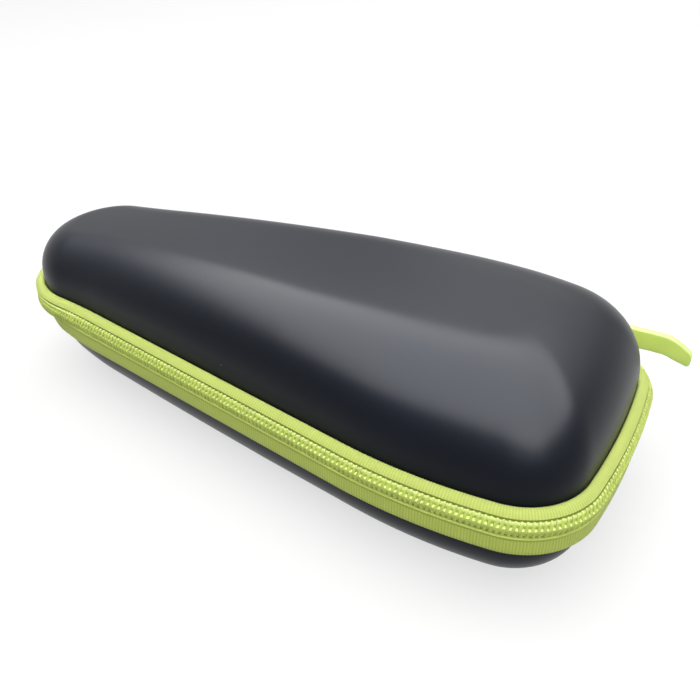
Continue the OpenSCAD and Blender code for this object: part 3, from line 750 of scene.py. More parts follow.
def metal_finish(name, tone, metallic=0.0, rough=0.32):
    """Painted die casting: fine orange peel, with rubbed spots where the paint thins."""
    f = Finish(name, Metallic=metallic, Specular_IOR_Level=0.5)
    peel = f.noise(1500, 2.0)
    rub = f.noise(520, 5.0, 0.7).within(0.60, 0.72)
    f.set("Base Color", f.blend(rub * 0.5, tone, tuple(0.18 + c * 0.5 for c in tone)))
    f.set("Roughness", rough + peel * 0.1 + rub * 0.12)
    f.bump(peel, 0.02, 0.4)
    return f.material


def give(item, material, slot, body, *nodes):
    """Dresses a piece: its finish, the body it rides on and the nodes it stands for. The slot is
    not used.
    """
    item.data.materials.clear()
    item.data.materials.append(material)
    if isinstance(body, str):
        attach(item, body)
    else:
        body[0]
        body[1]
        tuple(body[2])
        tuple(body[3])
        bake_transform(item)
    if nodes:
        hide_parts(*nodes)
    return item


FINISHES = {}


def finish_of(key):
    """A material of this object, made once."""
    if key not in FINISHES:
        tones = group("colours")
        tone = {k: tuple(getattr(tones, k)) for k in tones.bl_rna.properties.keys()
                if k in HARDCASE_PG_colours.__annotations__}
        makers = {
            "skin": lambda: skin_finish("Moulded skin", tone["skin"]),
            "tape": lambda: cloth_finish("Woven lime tape", tone["tape"], 0.42, 0.5, 0.08, 0.35,
                                         True, Sheen_Weight=0.15),
            "core": lambda: coil_finish("Sewn core", shade(tone["coil"], 0.92)),
            "tape_plain": lambda: cloth_finish("Lime hinge cloth", tone["tape"], 0.55, 0.55, 0.1,
                                               0.5, Sheen_Weight=0.15),
            "coil": lambda: coil_finish("Lime coil", tone["coil"]),
            "thread": lambda: coil_finish("Lime thread", shade(tone["coil"], 1.05)),
            "dark_thread": lambda: coil_finish("Dark thread", (0.05, 0.052, 0.058)),
            "lining": lambda: cloth_finish("Knitted lining", tone["lining"], 0.9, 0.7, 0.12, 0.7,
                                           Sheen_Weight=0.25),
            "binding": lambda: cloth_finish("Grosgrain binding", tone["binding"], 0.6, 1.6, 0.1,
                                            0.6, Sheen_Weight=0.15),
            "elastic": lambda: cloth_finish("Woven elastic", tone["elastic"], 1.1, 0.55, 0.14,
                                            0.8, Sheen_Weight=0.1),
            "net": lambda: coil_finish("Knitted net cord", tone["net"]),
            "metal": lambda: metal_finish("Painted casting", tone["metal"]),
            "crimp": lambda: metal_finish("Painted crimp", (0.36, 0.44, 0.12), 0.2, 0.4),
            "tab": lambda: rubber_finish("Soft lime moulding", tone["tab"]),
        }
        FINISHES[key] = makers[key]()
    return FINISHES[key]


# ---------------------------------------------------------------- repeats along a path


def row_tree():
    """Instances of one shape along a path, each turned to it, tilted and squeezed."""
    made = bpy.data.node_groups.new("Row along a path", "GeometryNodeTree")
    face = made.interface
    face.new_socket("Path", in_out="INPUT", socket_type="NodeSocketGeometry")
    face.new_socket("Shape", in_out="INPUT", socket_type="NodeSocketObject")
    face.new_socket("Pitch", in_out="INPUT", socket_type="NodeSocketFloat")
    face.new_socket("Finish", in_out="INPUT", socket_type="NodeSocketMaterial")
    face.new_socket("Row", in_out="OUTPUT", socket_type="NodeSocketGeometry")
    t = Tree(made)
    given = t.node("NodeGroupInput")
    line = t.node("GeometryNodeMeshToCurve", {}, {"Mesh": given["Path"]})[0]
    even = t.node("GeometryNodeResampleCurve", {"mode": "LENGTH"}, {
        "Curve": line, "Length": given["Pitch"]})[0]

    def stored(name):
        return t.node("GeometryNodeInputNamedAttribute", {"data_type": "FLOAT"}, {"Name": name})[0]

    way = t.node("GeometryNodeInputTangent")[0]
    facing = t.node("FunctionNodeAlignRotationToVector", {"axis": "X", "pivot_axis": "Z"}, {
        "Vector": way})[0]
    lean = t.node("ShaderNodeCombineXYZ", {}, {"X": stored("lean")})[0]
    turn = t.node("FunctionNodeEulerToRotation", {}, {"Euler": lean})[0]
    turned = t.node("FunctionNodeRotateRotation", {"rotation_space": "LOCAL"}, {
        "Rotation": facing, "Rotate By": turn})[0]
    size = t.node("ShaderNodeCombineXYZ", {}, {"X": 1.0, "Y": 1.0, "Z": stored("squeeze")})[0]
    shape = t.node("GeometryNodeObjectInfo", {"transform_space": "ORIGINAL"}, {
        "Object": given["Shape"]})["Geometry"]
    row = t.node("GeometryNodeInstanceOnPoints", {}, {
        "Points": even, "Instance": shape, "Rotation": turned, "Scale": size})[0]
    solid = t.node("GeometryNodeRealizeInstances", {}, {"Geometry": row})[0]
    done = t.node("GeometryNodeSetMaterial", {}, {
        "Geometry": solid, "Material": given["Finish"]})[0]
    t.node("NodeGroupOutput", {}, {"Row": done})
    return made


def row_along(name, paths, shape, pitch, finish, lean=None, squeeze=None):
    """A mesh of shapes along paths of points in millimetres, made by the row tree."""
    tree = bpy.data.node_groups.get("Row along a path") or row_tree()
    points = np.concatenate(paths)
    edges, done = [], 0
    for path in paths:
        edges += [(done + i, done + i + 1) for i in range(len(path) - 1)]
        done += len(path)
    mesh = bpy.data.meshes.new(name)
    mesh.from_pydata((points * MM).tolist(), edges, [])
    for key, values in (("lean", lean), ("squeeze", squeeze)):
        if values is None:
            values = np.full(len(points), 0.0 if key == "lean" else 1.0)
        mesh.attributes.new(key, "FLOAT", "POINT").data.foreach_set(
            "value", np.asarray(values, np.float32))
    item = make_object(name, mesh)
    live = item.modifiers.new("Row", "NODES")
    live.node_group = tree
    inputs = {s.name: s.identifier for s in tree.interface.items_tree if s.in_out == "INPUT"}
    live[inputs["Shape"]] = shape
    live[inputs["Pitch"]] = pitch * MM
    live[inputs["Finish"]] = finish
    applied(item)
    for key in ("lean", "squeeze"):
        spare = item.data.attributes.get(key)
        if spare:
            item.data.attributes.remove(spare)
    item.data.shade_smooth()
    return item


def coil_turn(upper):
    """One turn of the coil: it runs from the tape to the seam, bulges there and goes back in."""
    way = 1 if upper else -1
    path = [(0.86, 2.46), (0.50, 2.40), (0.12, 2.02), (-0.06, 1.40), (-0.12, 0.80),
            (-0.24, 0.22), (-0.22, -0.22), (0.06, -0.42), (0.50, -0.30), (0.80, 0.10)]
    if upper:
        path = [(0.92, 2.04), (0.66, 2.00), (0.42, 1.76), (0.20, 1.28), (0.00, 0.76),
                (-0.24, 0.22), (-0.22, -0.22), (0.06, -0.42), (0.50, -0.30), (0.80, 0.10)]
    radius = [0.20, 0.26, 0.29, 0.29, 0.30, 0.38, 0.38, 0.34, 0.30, 0.22]
    lean = 0.22 if upper else -0.10
    points = [(lean * z, d, way * z) for d, z in path]
    verts, faces = tube(points, radius, 8, (1, 0, 0), 1.42)
    return build("coil_turn", verts, faces)


def parted(run, shut):
    """How far a row stands off the parting plane beside the slider; shut is 1 elsewhere."""
    return (1 - shut) * FORK_LIFT * ease((FORK_REACH - run) / FORK_RAMP)


def core_sections(core, way, run, shut):
    """The sewn core that fills the turns, with the rows parted at the slider's fork."""
    z0, room = Sizes("shells").parting_z, 2.6
    apart = parted(run, shut)[:, None]
    d, z = np.array(core).T
    high = z[None] * (1 - apart / room) + apart
    return np.stack(np.broadcast_arrays(d[None], z0 + way * high), -1)


def core_rib(d, z):
    """How far the sewing thread's turns stand out of the core's front."""
    front, proud = 0.6, 0.10
    return proud if d < front else 0.0


def stitch_shape():
    """One stitch: a short, slightly arched thread."""
    half = group("zip").stitch_length / MM / 2
    t = np.linspace(-1, 1, 7)
    verts, faces = tube(np.stack([t * half, 0 * t, 0.16 * (1 - t ** 4) - 0.08], 1),
                        0.2 * np.sqrt(np.maximum(0.12, 1 - np.abs(t) ** 5)), 7)
    return build("stitch_shape", verts, faces)


def drop(item):
    """Removes a shape that was only there to be repeated."""
    mesh = item.data
    bpy.data.objects.remove(item)
    if mesh.users == 0:
        bpy.data.meshes.remove(mesh)


# ---------------------------------------------------------------- operators


class Piece:
    """What the pieces' operators share."""
    bl_options = {"REGISTER", "UNDO"}


class HARDCASE_OT_shells(Piece, bpy.types.Operator):
    """Moulds the two halves"""
    bl_idname = "hardcase.shells"
    bl_label = "Moulded halves"

    def execute(self, context):
        o = Outline()
        s = o.s
        st = o.loop(2.0)
        outer, inner, soft = range(90, -1, -5), range(0, 91, 10), 0.5
        foot = o.at(st, s.upper_inset, o.edge_z + soft)
        edge = [o.ring(st, 0, 0, True) * (1 - t) + foot * t for t in (0.35, 0.7, 1.0)]
        edge += [o.at(st, s.upper_inset + soft * 0.24, o.edge_z + soft * 0.24),
                 o.at(st, s.upper_inset + soft, o.edge_z),
                 o.at(st, s.upper_inset + s.wall, o.edge_z)]
        lid = loft("lid_shell", [o.ring(st, 0, k, True) for k in outer] + edge +
                   [o.ring(st, s.wall, k, True) for k in inner],
                   [lambda x, y: o.top_z(x) + o.crown(x, y)] * 2, sharp=60)
        give(lid, finish_of("skin"), "shell_skin", "lid", "upper_shell")
        top, board = s.flange_z + s.flange_height, s.lower_inset + 0.4
        flange = [(s.lower_inset, s.flange_z), (o.web_in + s.glue, s.flange_z),
                  (o.web_in + s.glue, top), (board, top), (board, o.rim_z),
                  (s.lower_inset + s.wall, o.rim_z)]
        base = loft("base_shell", [o.ring(st, 0, k, False) for k in outer] +
                    [o.at(st, d, z) for d, z in flange] +
                    [o.ring(st, s.wall, k, False) for k in inner],
                    [lambda x, y: o.bottom_z(x)] * 2, sharp=60)
        give(base, finish_of("skin"), "shell_skin", "base", "lower_shell")
        return {"FINISHED"}


class HARDCASE_OT_linings(Piece, bpy.types.Operator):
    """Lines both halves and binds their rims"""
    bl_idname = "hardcase.linings"
    bl_label = "Linings and bindings"

    def execute(self, context):
        o = Outline()
        s = o.s
        st = o.loop(2.5)
        off = s.wall + s.glue
        for upper, name, body, node in ((True, "lid_lining", "lid", "upper_lining"),
                                        (False, "base_lining", "base", "lower_lining")):
            z = o.edge_z if upper else o.rim_z
            inset = (s.upper_inset if upper else s.lower_inset) + off
            rings = [o.ring(st, off, k, upper) for k in range(90, -1, -15)]
            rings += [o.at(st, inset, z), o.at(st, inset + s.lining, z)]
            rings += [o.ring(st, off + s.lining, k, upper) for k in range(0, 91, 10)]

            def cap(x, y):
                return o.top_z(x) + o.crown(x, y) if upper else o.bottom_z(x)
            give(loft(name, rings, [cap] * 2, sharp=60), finish_of("lining"), "lining_cloth",
                 body, node)
        lower_in, upper_in, gap = o.lower_bind, o.upper_bind, 0.15
        lower_out, upper_out = s.lower_inset + 0.5, s.upper_inset + 0.4
        foot = o.rim_z - s.binding_height + 0.7
        head = o.edge_z + s.binding_height - 1.8
        low = [(lower_out, o.rim_z + s.glue), (lower_out, s.parting_z - gap),
               (lower_in + s.tape, s.parting_z - gap), (lower_in + s.tape, foot),
               (lower_in, foot), (lower_in, o.rim_z + s.glue)]
        high = [(upper_out, s.parting_z + gap), (upper_in + s.tape, s.parting_z + gap),
                (upper_in + s.tape, head), (upper_in, head), (upper_in, o.edge_z - s.glue),
                (upper_out, o.edge_z - s.glue)]
        for name, section, body, node in (("base_binding", low, "base", "lower_binding"),
                                          ("lid_binding", high, "lid", "upper_binding")):
            item = sweep(name, o, o.round, 1.5, fine(rounded(section, 0.22), 0.8))
            give(item, finish_of("binding"), "binding_cloth", body, node)
        return {"FINISHED"}


def tape_look(o):
    """Ribs and painted light of the lower tape: a painted highlight on the cord that stands out
    over it, a painted shadow line above and below the cord, and painted shade on what is set in
    deeper, behind the coil.
    """
    s = o.s
    web, over, cord, under = 0.9, o.cord_z + 0.39, o.cord_z - 0.31, o.cord_z - 0.71

    def rib(d, z):
        return s.rib_height if d < 0.62 and s.flange_z - 0.6 < z < o.cord_z - 0.66 else 0.0

    # Painted light: a highlight on the cord, shadow lines above and below it, and shade on the
    # parts set in deeper.
    def tone(d, z):
        if d > web:
            return -0.5
        if z > over:
            return -0.9
        if z > cord:
            return 0.55
        return -1.0 if z > under else 0.0
    return rib, tone


def welt_look(o):
    """Ribs and painted light of the upper tape: a painted highlight on the ribbed welt, stronger
    towards its rolled top, over painted shade in the groove.
    """
    def rib(d, z):
        if z < o.edge_z - 0.12 or d > 3.98:
            return 0.0
        return o.s.rib_height * (0.7 + 0.5 * max(0.0, (d - 1.2) / 2.8))

    # Painted shade in the groove under the welt, and a painted highlight on the welt that grows
    # towards its top.
    def tone(d, z):
        if z < o.edge_z - 0.16:
            return -1.0
        return 0.30 + 0.35 * max(0.0, (d - 1.6) / 2.4)
    return rib, tone


def lower_tape_section(o):
    """The lower tape: round the flange, with a cord along its fold and a web behind the coil."""
    s = o.s
    z0, zc = s.flange_z - s.glue, o.cord_z
    out = [(s.lower_inset - s.glue, z0 - s.tape), (1.3, z0 - s.tape), (0.78, z0 - 0.5),
           (0.47, z0 - 0.12), (s.tape_inset, z0 + 0.4), (s.tape_inset - 0.04, z0 + 1.5),
           (s.tape_inset, z0 + 3.0), (s.tape_inset + 0.06, z0 + 4.1), (0.60, zc - 0.62),
           (0.68, zc - 0.48)]
    cord = [(0.44 - 0.50 * math.sin(a), zc - 0.38 * math.cos(a))
            for a in np.radians(np.linspace(25, 165, 8))]
    top = s.flange_z + s.flange_height
    back = [(0.80, zc + 0.42), (o.web_in, zc + 0.50), (o.web_in, o.rim_z),
            (o.web_in + s.tape, o.rim_z), (o.web_in + s.tape, top + s.glue + s.tape),
            (o.web_in, top + s.glue), (o.web_in, z0), (s.lower_inset - s.glue, z0)]
    return out + cord + back


def upper_tape_section(o):
    """The upper tape: the sewn welt against the lid's wall, a groove, and the web."""
    s, e = o.s, o.edge_z
    return [(s.upper_inset - 0.08, e + 0.72), (s.upper_inset - 0.22, e + 1.06),
            (s.upper_inset - 0.55, e + 1.26), (s.upper_inset - 1.0, e + 1.26),
            (s.upper_inset - 1.5, e + 1.12), (s.upper_inset - 2.0, e + 0.88),
            (s.upper_inset - 2.45, e + 0.58), (s.upper_inset - 2.85, e + 0.22),
            (s.upper_inset - 3.08, e - 0.06), (s.upper_inset - 2.95, e - 0.24),
            (o.web_in + 0.25, e - 0.34), (o.web_in, e - 0.6), (o.web_in, o.web_top),
            (o.web_in + s.tape, o.web_top), (o.web_in + s.tape, e - 0.3),
            (s.upper_inset - 2.2, e + 0.1), (s.upper_inset - s.glue, e + 0.35)]


class HARDCASE_OT_tapes(Piece, bpy.types.Operator):
    """Sews the zip's two tapes and the cloth hinge"""
    bl_idname = "hardcase.tapes"
    bl_label = "Zip tapes and hinge cloth"

    def execute(self, context):
        o = Outline()
        s = o.s
        step = s.rib_pitch / 4
        look = tape_look(o)
        legs = [(o.side, s.side_radius, o.side_angle, s.corner_angle)] + o.round
        lower = sweep("lower_tape", o, legs, step, fine(lower_tape_section(o), 1.3),
                      look[0], s.rib_pitch, look[1], 70)
        give(lower, finish_of("tape"), "lime_tape", "base", "lower_zip_tape")
        look = welt_look(o)
        upper = sweep("upper_tape", o, o.round, step, fine(upper_tape_section(o), 1.3),
                      look[0], s.rib_pitch, look[1], 70)
        give(upper, finish_of("tape"), "lime_tape", "lid", "upper_zip_tape")
        self.tape_end(o)
        self.hinge(o)
        return {"FINISHED"}

    def tape_end(self, o):
        """The lid's cloth beside the parked slider, which stands clear of the slider's plate."""
        s = o.s
        slot = s.parting_z + 4.0
        plain = np.array(upper_tape_section(o))
        clear = np.array([
            (s.upper_inset - 0.08, slot + 0.45), (s.upper_inset - 0.22, slot + 0.62),
            (s.upper_inset - 0.55, slot + 0.72), (s.upper_inset - 1.0, slot + 0.72),
            (s.upper_inset - 1.5, slot + 0.70), (s.upper_inset - 2.0, slot + 0.68),
            (s.upper_inset - 2.45, slot + 0.62), (s.upper_inset - 2.8, slot + 0.5),
            (o.web_in + 0.1, slot + 0.35), (o.web_in + 0.02, slot + 0.2),
            (o.web_in, slot + 0.1), (o.web_in, slot - 1.5),
            (o.web_in, o.web_top), (o.web_in + s.tape, o.web_top),
            (o.web_in + s.tape, slot), (s.upper_inset - 1.2, slot + 0.12),
            (s.upper_inset - s.glue, slot + 0.14)])

        def sections(run):
            t = ease(np.minimum(run, run[-1] - run) / run[-1] / 0.16)[:, None, None]
            return plain[None] * (1 - t) + clear[None] * t
        look = welt_look(o)
        item = sweep("parked_tape_cloth", o, o.beside, s.rib_pitch / 4, sections, look[0],
                     s.rib_pitch, look[1], 70)
        give(item, finish_of("tape"), "lime_tape", end_blend(o), "upper_tape_end")

    def hinge(self, o):
        """The cloth over the outside and the inside of the hinge side."""
        s, e = o.s, o.edge_z
        z0 = s.flange_z - s.glue
        outer = [(s.lower_inset - s.glue, z0 - s.tape), (o.web_in, z0 - s.tape),
                 (s.tape_inset, z0), (s.tape_inset, e - 0.2), (o.web_in + 0.2, e + 0.7),
                 (s.upper_inset - s.glue, e + 0.95), (s.upper_inset - s.glue, e + 0.95 - s.tape),
                 (o.web_in + 0.5, e + 0.05), (o.web_in, e - 0.5), (o.web_in, z0),
                 (s.lower_inset - s.glue, z0)]
        strip = sweep("hinge_cloth", o, o.hinge, 1.2, fine(rounded(outer, 0.3), 0.45))
        give(strip, finish_of("tape_plain"), "lime_tape",
             fold(o, s.parting_z - 1.9, s.parting_z + 2.1), "hinge_strip")
        lower_in, upper_in = o.lower_bind, o.upper_bind
        top = e + s.binding_height - 1.8
        inner = [(lower_in, o.rim_z + 0.1 - s.binding_height), (lower_in, o.rim_z + 0.2),
                 (upper_in, e - 1.9), (upper_in, top), (upper_in + s.tape, top),
                 (upper_in + s.tape, e - 2), (lower_in + s.tape, o.rim_z + 0.1),
                 (lower_in + s.tape, o.rim_z + 0.1 - s.binding_height)]
        facing = sweep("hinge_facing_cloth", o, o.hinge_side, 2.0, fine(rounded(inner, 0.2), 0.5))
        give(facing, finish_of("lining"), "lining_cloth",
             fold(o, s.parting_z - 2.5, s.parting_z + 3.1), "hinge_facing")


def fold(o, low, high):
    """Where cloth bends across the hinge, given as the base below, the lid above and two points of
    the bend's line.
    """
    x, y = o.wide_foot * MM
    return ("base", "lid", (x, y, low * MM), (x, y, high * MM))


def end_blend(o):
    """Where the loose end beside the slider bends, given as the base, the lid and two points of
    the bend's line: the lid for its edge, the base for what passes through the slider. The bend's
    line rises towards the narrow end."""
    start, across = np.array([53.0, 33.1]), np.array([1 / 6.2, 1.0])
    stop = start + across / (across @ across)
    y = o.wide_foot[1] * MM
    (ax, az), (bx, bz) = start * MM, stop * MM
    return ("base", "lid", (ax, y, az), (bx, y, bz))


class HARDCASE_OT_coil(Piece, bpy.types.Operator):
    """Winds the zip's two rows of coil and crimps their stops"""
    bl_idname = "hardcase.coil"
    bl_label = "Coil and stops"

    def execute(self, context):
        o = Outline()
        s = o.s
        cores = {"lower": [(0.26, 0.50), (0.12, 1.10), (0.12, 1.75), (0.55, 2.15), (0.96, 2.2),
                           (0.96, 0.35), (0.5, 0.38)],
                 "upper": [(0.30, 0.50), (0.27, 1.10), (0.42, 1.6), (0.76, 1.82), (0.97, 1.86),
                           (0.97, 0.35), (0.5, 0.38)]}
        for row, way in (("upper", 1), ("lower", -1)):
            upper = way > 0
            shape = coil_turn(upper)
            edge = s.upper_edge if upper else s.parting_z - s.flange_z
            full = math.atan2(s.tip_flare if upper else s.tip_tuck, edge)
            stagger = 0.0 if upper else s.coil_pitch / 2
            loose = end_blend(o) if upper else "base"
            fixed = "lid" if upper else "base"
            for name, node, legs, shut, body in (
                    ("end", "chain_end", o.parked, 0.0, loose),
                    ("round", "zip_chain", o.round, 1.0, fixed)):
                st, run = o.walk(legs, 0.5)
                apart = parted(run, shut)
                squeeze = (s.coil_height - apart) / s.coil_height
                path = o.at(st, 0, s.parting_z)
                path[:, 2] = s.parting_z + way * (0.02 + apart)
                keep = run >= stagger
                lean = -o.tip(st[:, 0]) * full
                item = row_along(f"{row}_coil_{name}", [path[keep][::-1]], shape, s.coil_pitch,
                                 finish_of("coil"), lean[keep][::-1], squeeze[keep][::-1])
                give(item, finish_of("coil"), "lime_coil", body, f"{row}_{node}")
                core = sweep(f"{row}_core_{name}", o, legs, s.coil_pitch / 4,
                             lambda u: core_sections(cores[row], way, u, shut), core_rib,
                             s.coil_pitch / 2)
                give(core, finish_of("core"), "lime_coil", body)
            drop(shape)
        for node, name, body in (("lower_stop", "lower_stop_crimp", "base"),
                                 ("upper_stop", "upper_stop_crimp", end_blend(o)),
                                 ("tail_stop", "tail_stop_crimp", "base")):
            give(dressed(node, name, 0.12), finish_of("crimp"), "stop_metal", body, node)
        return {"FINISHED"}


class HARDCASE_OT_stitching(Piece, bpy.types.Operator):
    """Stitches the cloth hinge and the bindings"""
    bl_idname = "hardcase.stitching"
    bl_label = "Stitching"

    def execute(self, context):
        o = Outline()
        s = o.s
        shape = stitch_shape()
        proud = 0.02
        rows = [
            ("hinge_stitches_low", o.hinge, s.tape_inset - proud,
             [s.flange_z + 0.9, s.flange_z + 2.6], "thread", "lime_tape", "base"),
            ("base_binding_stitches", o.round, o.lower_bind + s.tape + proud,
             [o.rim_z - 3.9], "dark_thread", "binding_cloth", "base"),
            ("lid_binding_stitches", o.round, o.upper_bind + s.tape + proud,
             [o.edge_z + 2.8], "dark_thread", "binding_cloth", "lid"),
        ]
        for name, legs, inset, heights, finish, slot, body in rows:
            st, _ = o.walk(legs, 1.0)
            st = st[2:-2]
            paths = [o.at(st, inset, z) for z in heights]
            item = row_along(name, paths, shape, s.stitch_pitch, finish_of(finish))
            give(item, finish_of(finish), slot, body)
        drop(shape)
        return {"FINISHED"}


class HARDCASE_OT_inside(Piece, bpy.types.Operator):
    """Makes the elastic strap and the net pocket"""
    bl_idname = "hardcase.inside"
    bl_label = "Strap and net pocket"

    strap_x: length("Strap", "Distance of the strap from the middle, to the narrow end", 22)
    strap_width: length("Strap width", "Width of the elastic strap", 22)
    strap_thick: length("Strap thickness", "Thickness of the elastic strap", 1.2)
    strap_drop: length("Strap drop", "Strap's middle under the parting plane", 3)
    pocket_x: length("Pocket mouth", "Position of the pocket's mouth", 24)
    mesh: length("Mesh", "Pitch of the net's mesh", 3.6)

    def execute(self, context):
        o = Outline()
        self.strap(o)
        self.net(o)
        return {"FINISHED"}

    def strap(self, o):
        """A woven band across the base: up one wall, over, and down the other."""
        s = o.s
        x0, w, thick = -self.strap_x / MM, self.strap_width / MM, self.strap_thick / MM
        inset = o.lower_bind + s.tape + s.glue + thick / 2
        top = s.parting_z - self.strap_drop / MM - thick / 2
        slope = math.atan2(o.hinge_way[1], o.hinge_way[0])
        y1 = o.side_y(x0) - inset / math.cos(slope)
        arc = [(-y1, top - 9.4 + rise) for rise in np.arange(0, 8.3, 0.6)]
        arc += [(-y1 + 1.0 * (1 - math.cos(a)), top - 1.0 + 0.75 * math.sin(a))
                for a in np.radians(np.arange(10, 85, 15))]
        arc += [(y, top - 0.25 + math.sqrt(max(0, 1 - (y / y1) ** 2)))
                for y in np.linspace(-y1 + 1.4, 0, 26)]
        path = np.array(arc + [(-y, z) for y, z in arc[-2::-1]])
        along = np.gradient(path, axis=0)
        along /= np.linalg.norm(along, axis=1)[:, None]
        out = np.stack([-along[:, 1], along[:, 0]], 1) * (thick / 2 - 0.1)
        run = np.concatenate([[0], np.cumsum(np.linalg.norm(np.diff(path, axis=0), axis=1))])
        turn = -np.sign(path[:, 0]) * slope * ease((np.abs(path[:, 0]) - 4) / (y1 - 6))
        m, n = len(path), 25
        shifts = np.linspace(-0.5, 0.5, n) * w
        ribs = 1 + 0.10 * np.abs(np.sin(np.arange(n) * math.pi / 2)) / (thick / 2)
        points, uv, faces = [], [], []
        for side in (1, -1):
            for (y, z), (dy, dz), a, length_run in zip(path, out, turn, run):
                for shift, rib in zip(shifts, ribs):
                    points.append([x0 + shift * math.cos(a),
                                   y + side * rib * dy - shift * math.sin(a), z + side * rib * dz])
                    uv.append((shift, length_run))
        for side in (0, 1):
            for j in range(m - 1):
                for i in range(n - 1):
                    corner = (side * m + j) * n + i
                    quad = [corner, corner + 1, corner + n + 1, corner + n]
                    faces.append(quad if side else quad[::-1])
        edges = [(j * n + i, (j + 1) * n + i) for j in range(m - 1) for i in (0, n - 1)]
        edges += [(j * n + i, j * n + i + 1) for j in (0, m - 1) for i in range(n - 1)]
        faces += [[a, c, c + m * n, a + m * n] for a, c in edges]
        item = build("elastic_strap", points, faces, uv, 60)
        give(item, finish_of("elastic"), "strap_elastic", "base", "retaining_strap")

    def net(self, o):
        """A knitted net over the lid's narrow end, with a round cord along its edge."""
        s = o.s
        rise, bias, pitch = 4 / 110, math.radians(48), self.mesh / MM
        cord, border_cord, weave_depth = 0.26, 0.55, 0.12
        x1 = self.pocket_x / MM
        inset = s.upper_inset + s.wall + s.glue + s.lining + 1.2
        r = s.narrow_radius - inset
        z_mid = s.parting_z + 7.2 + o.xe * rise

        def height(x):
            return z_mid + x * rise

        turn = np.linspace(o.side_angle, 2 * math.pi - o.side_angle, 40)
        half = o.side_y(x1) - inset
        rim = np.array([(x1, half), *(o.narrow + r * o.way(a) for a in turn), (x1, -half)])
        edges = np.roll(rim, -1, 0) - rim
        normals = np.stack([-edges[:, 1], edges[:, 0]], 1)
        verts, faces = [], []

        def lay(path, radius, sides):
            v, f = tube(path, radius, sides)
            faces.extend([i + len(verts) for i in face] for face in f)
            verts.extend(v)

        for sign in (1, -1):
            way = np.array([math.cos(bias), sign * math.sin(bias)])
            side = np.array([-way[1], way[0]])
            for k in range(-40, 41):
                start = np.array([-30.0, 0]) + side * k * pitch
                across = normals @ way
                meets = -((start - rim) * normals).sum(1) / across
                low, high = meets[across > 0].max(), meets[across < 0].min()
                if high - low > 1:
                    t = np.linspace(low, high, max(3, int((high - low) / 0.9)))
                    xy = start + way * t[:, None]
                    weave = weave_depth * sign * np.cos(math.pi * t / pitch * 1.005)
                    lay(np.column_stack([xy, height(xy[:, 0]) + weave]), cord, 5)
        t = np.linspace(0, len(rim) - 1, 220)
        xy = np.stack([np.interp(t, np.arange(len(rim)), rim[:, i]) for i in (0, 1)], 1)
        lay(np.column_stack([xy, height(xy[:, 0])]), border_cord, 8)
        item = build("net_pocket", verts, faces)
        give(item, finish_of("net"), "net_cord", "lid", "pocket_net")
        hem = dressed("pocket_hem", "pocket_hem_elastic", 0.45)
        project(hem)
        give(hem, finish_of("elastic"), "strap_elastic", "lid", "pocket_hem")
        ahead = np.roll(rim, -1, 0)
        cord_share = 0.55  # of the net's outline is cord, and the rest is holes
        cut = abs((rim[:, 0] * ahead[:, 1] - ahead[:, 0] * rim[:, 1]).sum()) / 2 * MM * MM
        size = [float(v) * MM for v in np.ptp(rim, axis=0)[::-1]]
        cut * cord_share


def project(item):
    """A UV map in millimetres over the two widest directions of a small flat piece."""
    mesh = item.data
    layer = mesh.uv_layers.get("UVMap") or mesh.uv_layers.new(name="UVMap")
    co = np.empty(len(mesh.vertices) * 3, np.float32)
    mesh.vertices.foreach_get("co", co)
    co = co.reshape(-1, 3) / MM
    order = np.argsort(-(co.max(0) - co.min(0)))[:2]
    index = np.empty(len(mesh.loops), np.int32)
    mesh.loops.foreach_get("vertex_index", index)
    layer.data.foreach_set("uv", co[index][:, order].ravel().astype(np.float32))


class HARDCASE_OT_slider(Piece, bpy.types.Operator):
    """Makes the slider, its bridge, the link and the soft pull tab"""
    bl_idname = "hardcase.slider"
    bl_label = "Slider and pull"

    def execute(self, context):
        for node, name, bevel, body in (("zip_slider", "slider_body", 0.22, "slider"),
                                        ("slider_bridge", "slider_loop", 0.2, "slider"),
                                        ("puller_link", "pull_link", 0.12, "pull")):
            give(dressed(node, name, bevel), finish_of("metal"), "dark_metal", body, node)
        tab = dressed("pull_tab", "soft_pull_tab", 0.05, 1)
        soft = tab.modifiers.new("Moulded", "REMESH")
        soft.mode, soft.voxel_size, soft.use_smooth_shade = "VOXEL", 0.28 * MM, True
        calm = tab.modifiers.new("Softened edges", "SMOOTH")
        calm.factor, calm.iterations = 0.5, 14
        applied(tab)
        self.droop(tab.data)
        tab.data.shade_smooth()
        give(tab, finish_of("tab"), "tab_rubber", "pull", "pull_tab")
        return {"FINISHED"}

    @staticmethod
    def droop(mesh):
        """Bends the soft tab: it lifts behind the corner, and its tip hangs down."""
        co = np.empty(len(mesh.vertices) * 3, np.float32)
        mesh.vertices.foreach_get("co", co)
        co = co.reshape(-1, 3)
        x, z = co[:, 0] / MM, co[:, 2] / MM
        back = x - x.max()  # 0 at the tip
        middle = np.median(z[back > -8])
        lift = 1.5 * ease((back + 32) / 14) * (1 - ease((back + 10) / 10))
        lift -= 0.75 * ease((back + 9) / 9)
        lift -= 1.3 * ease((back + 6) / 6) * np.clip((z - middle) / 3.3, 0, 1)
        co[:, 2] += lift * MM
        mesh.vertices.foreach_set("co", co.ravel())
        mesh.update()


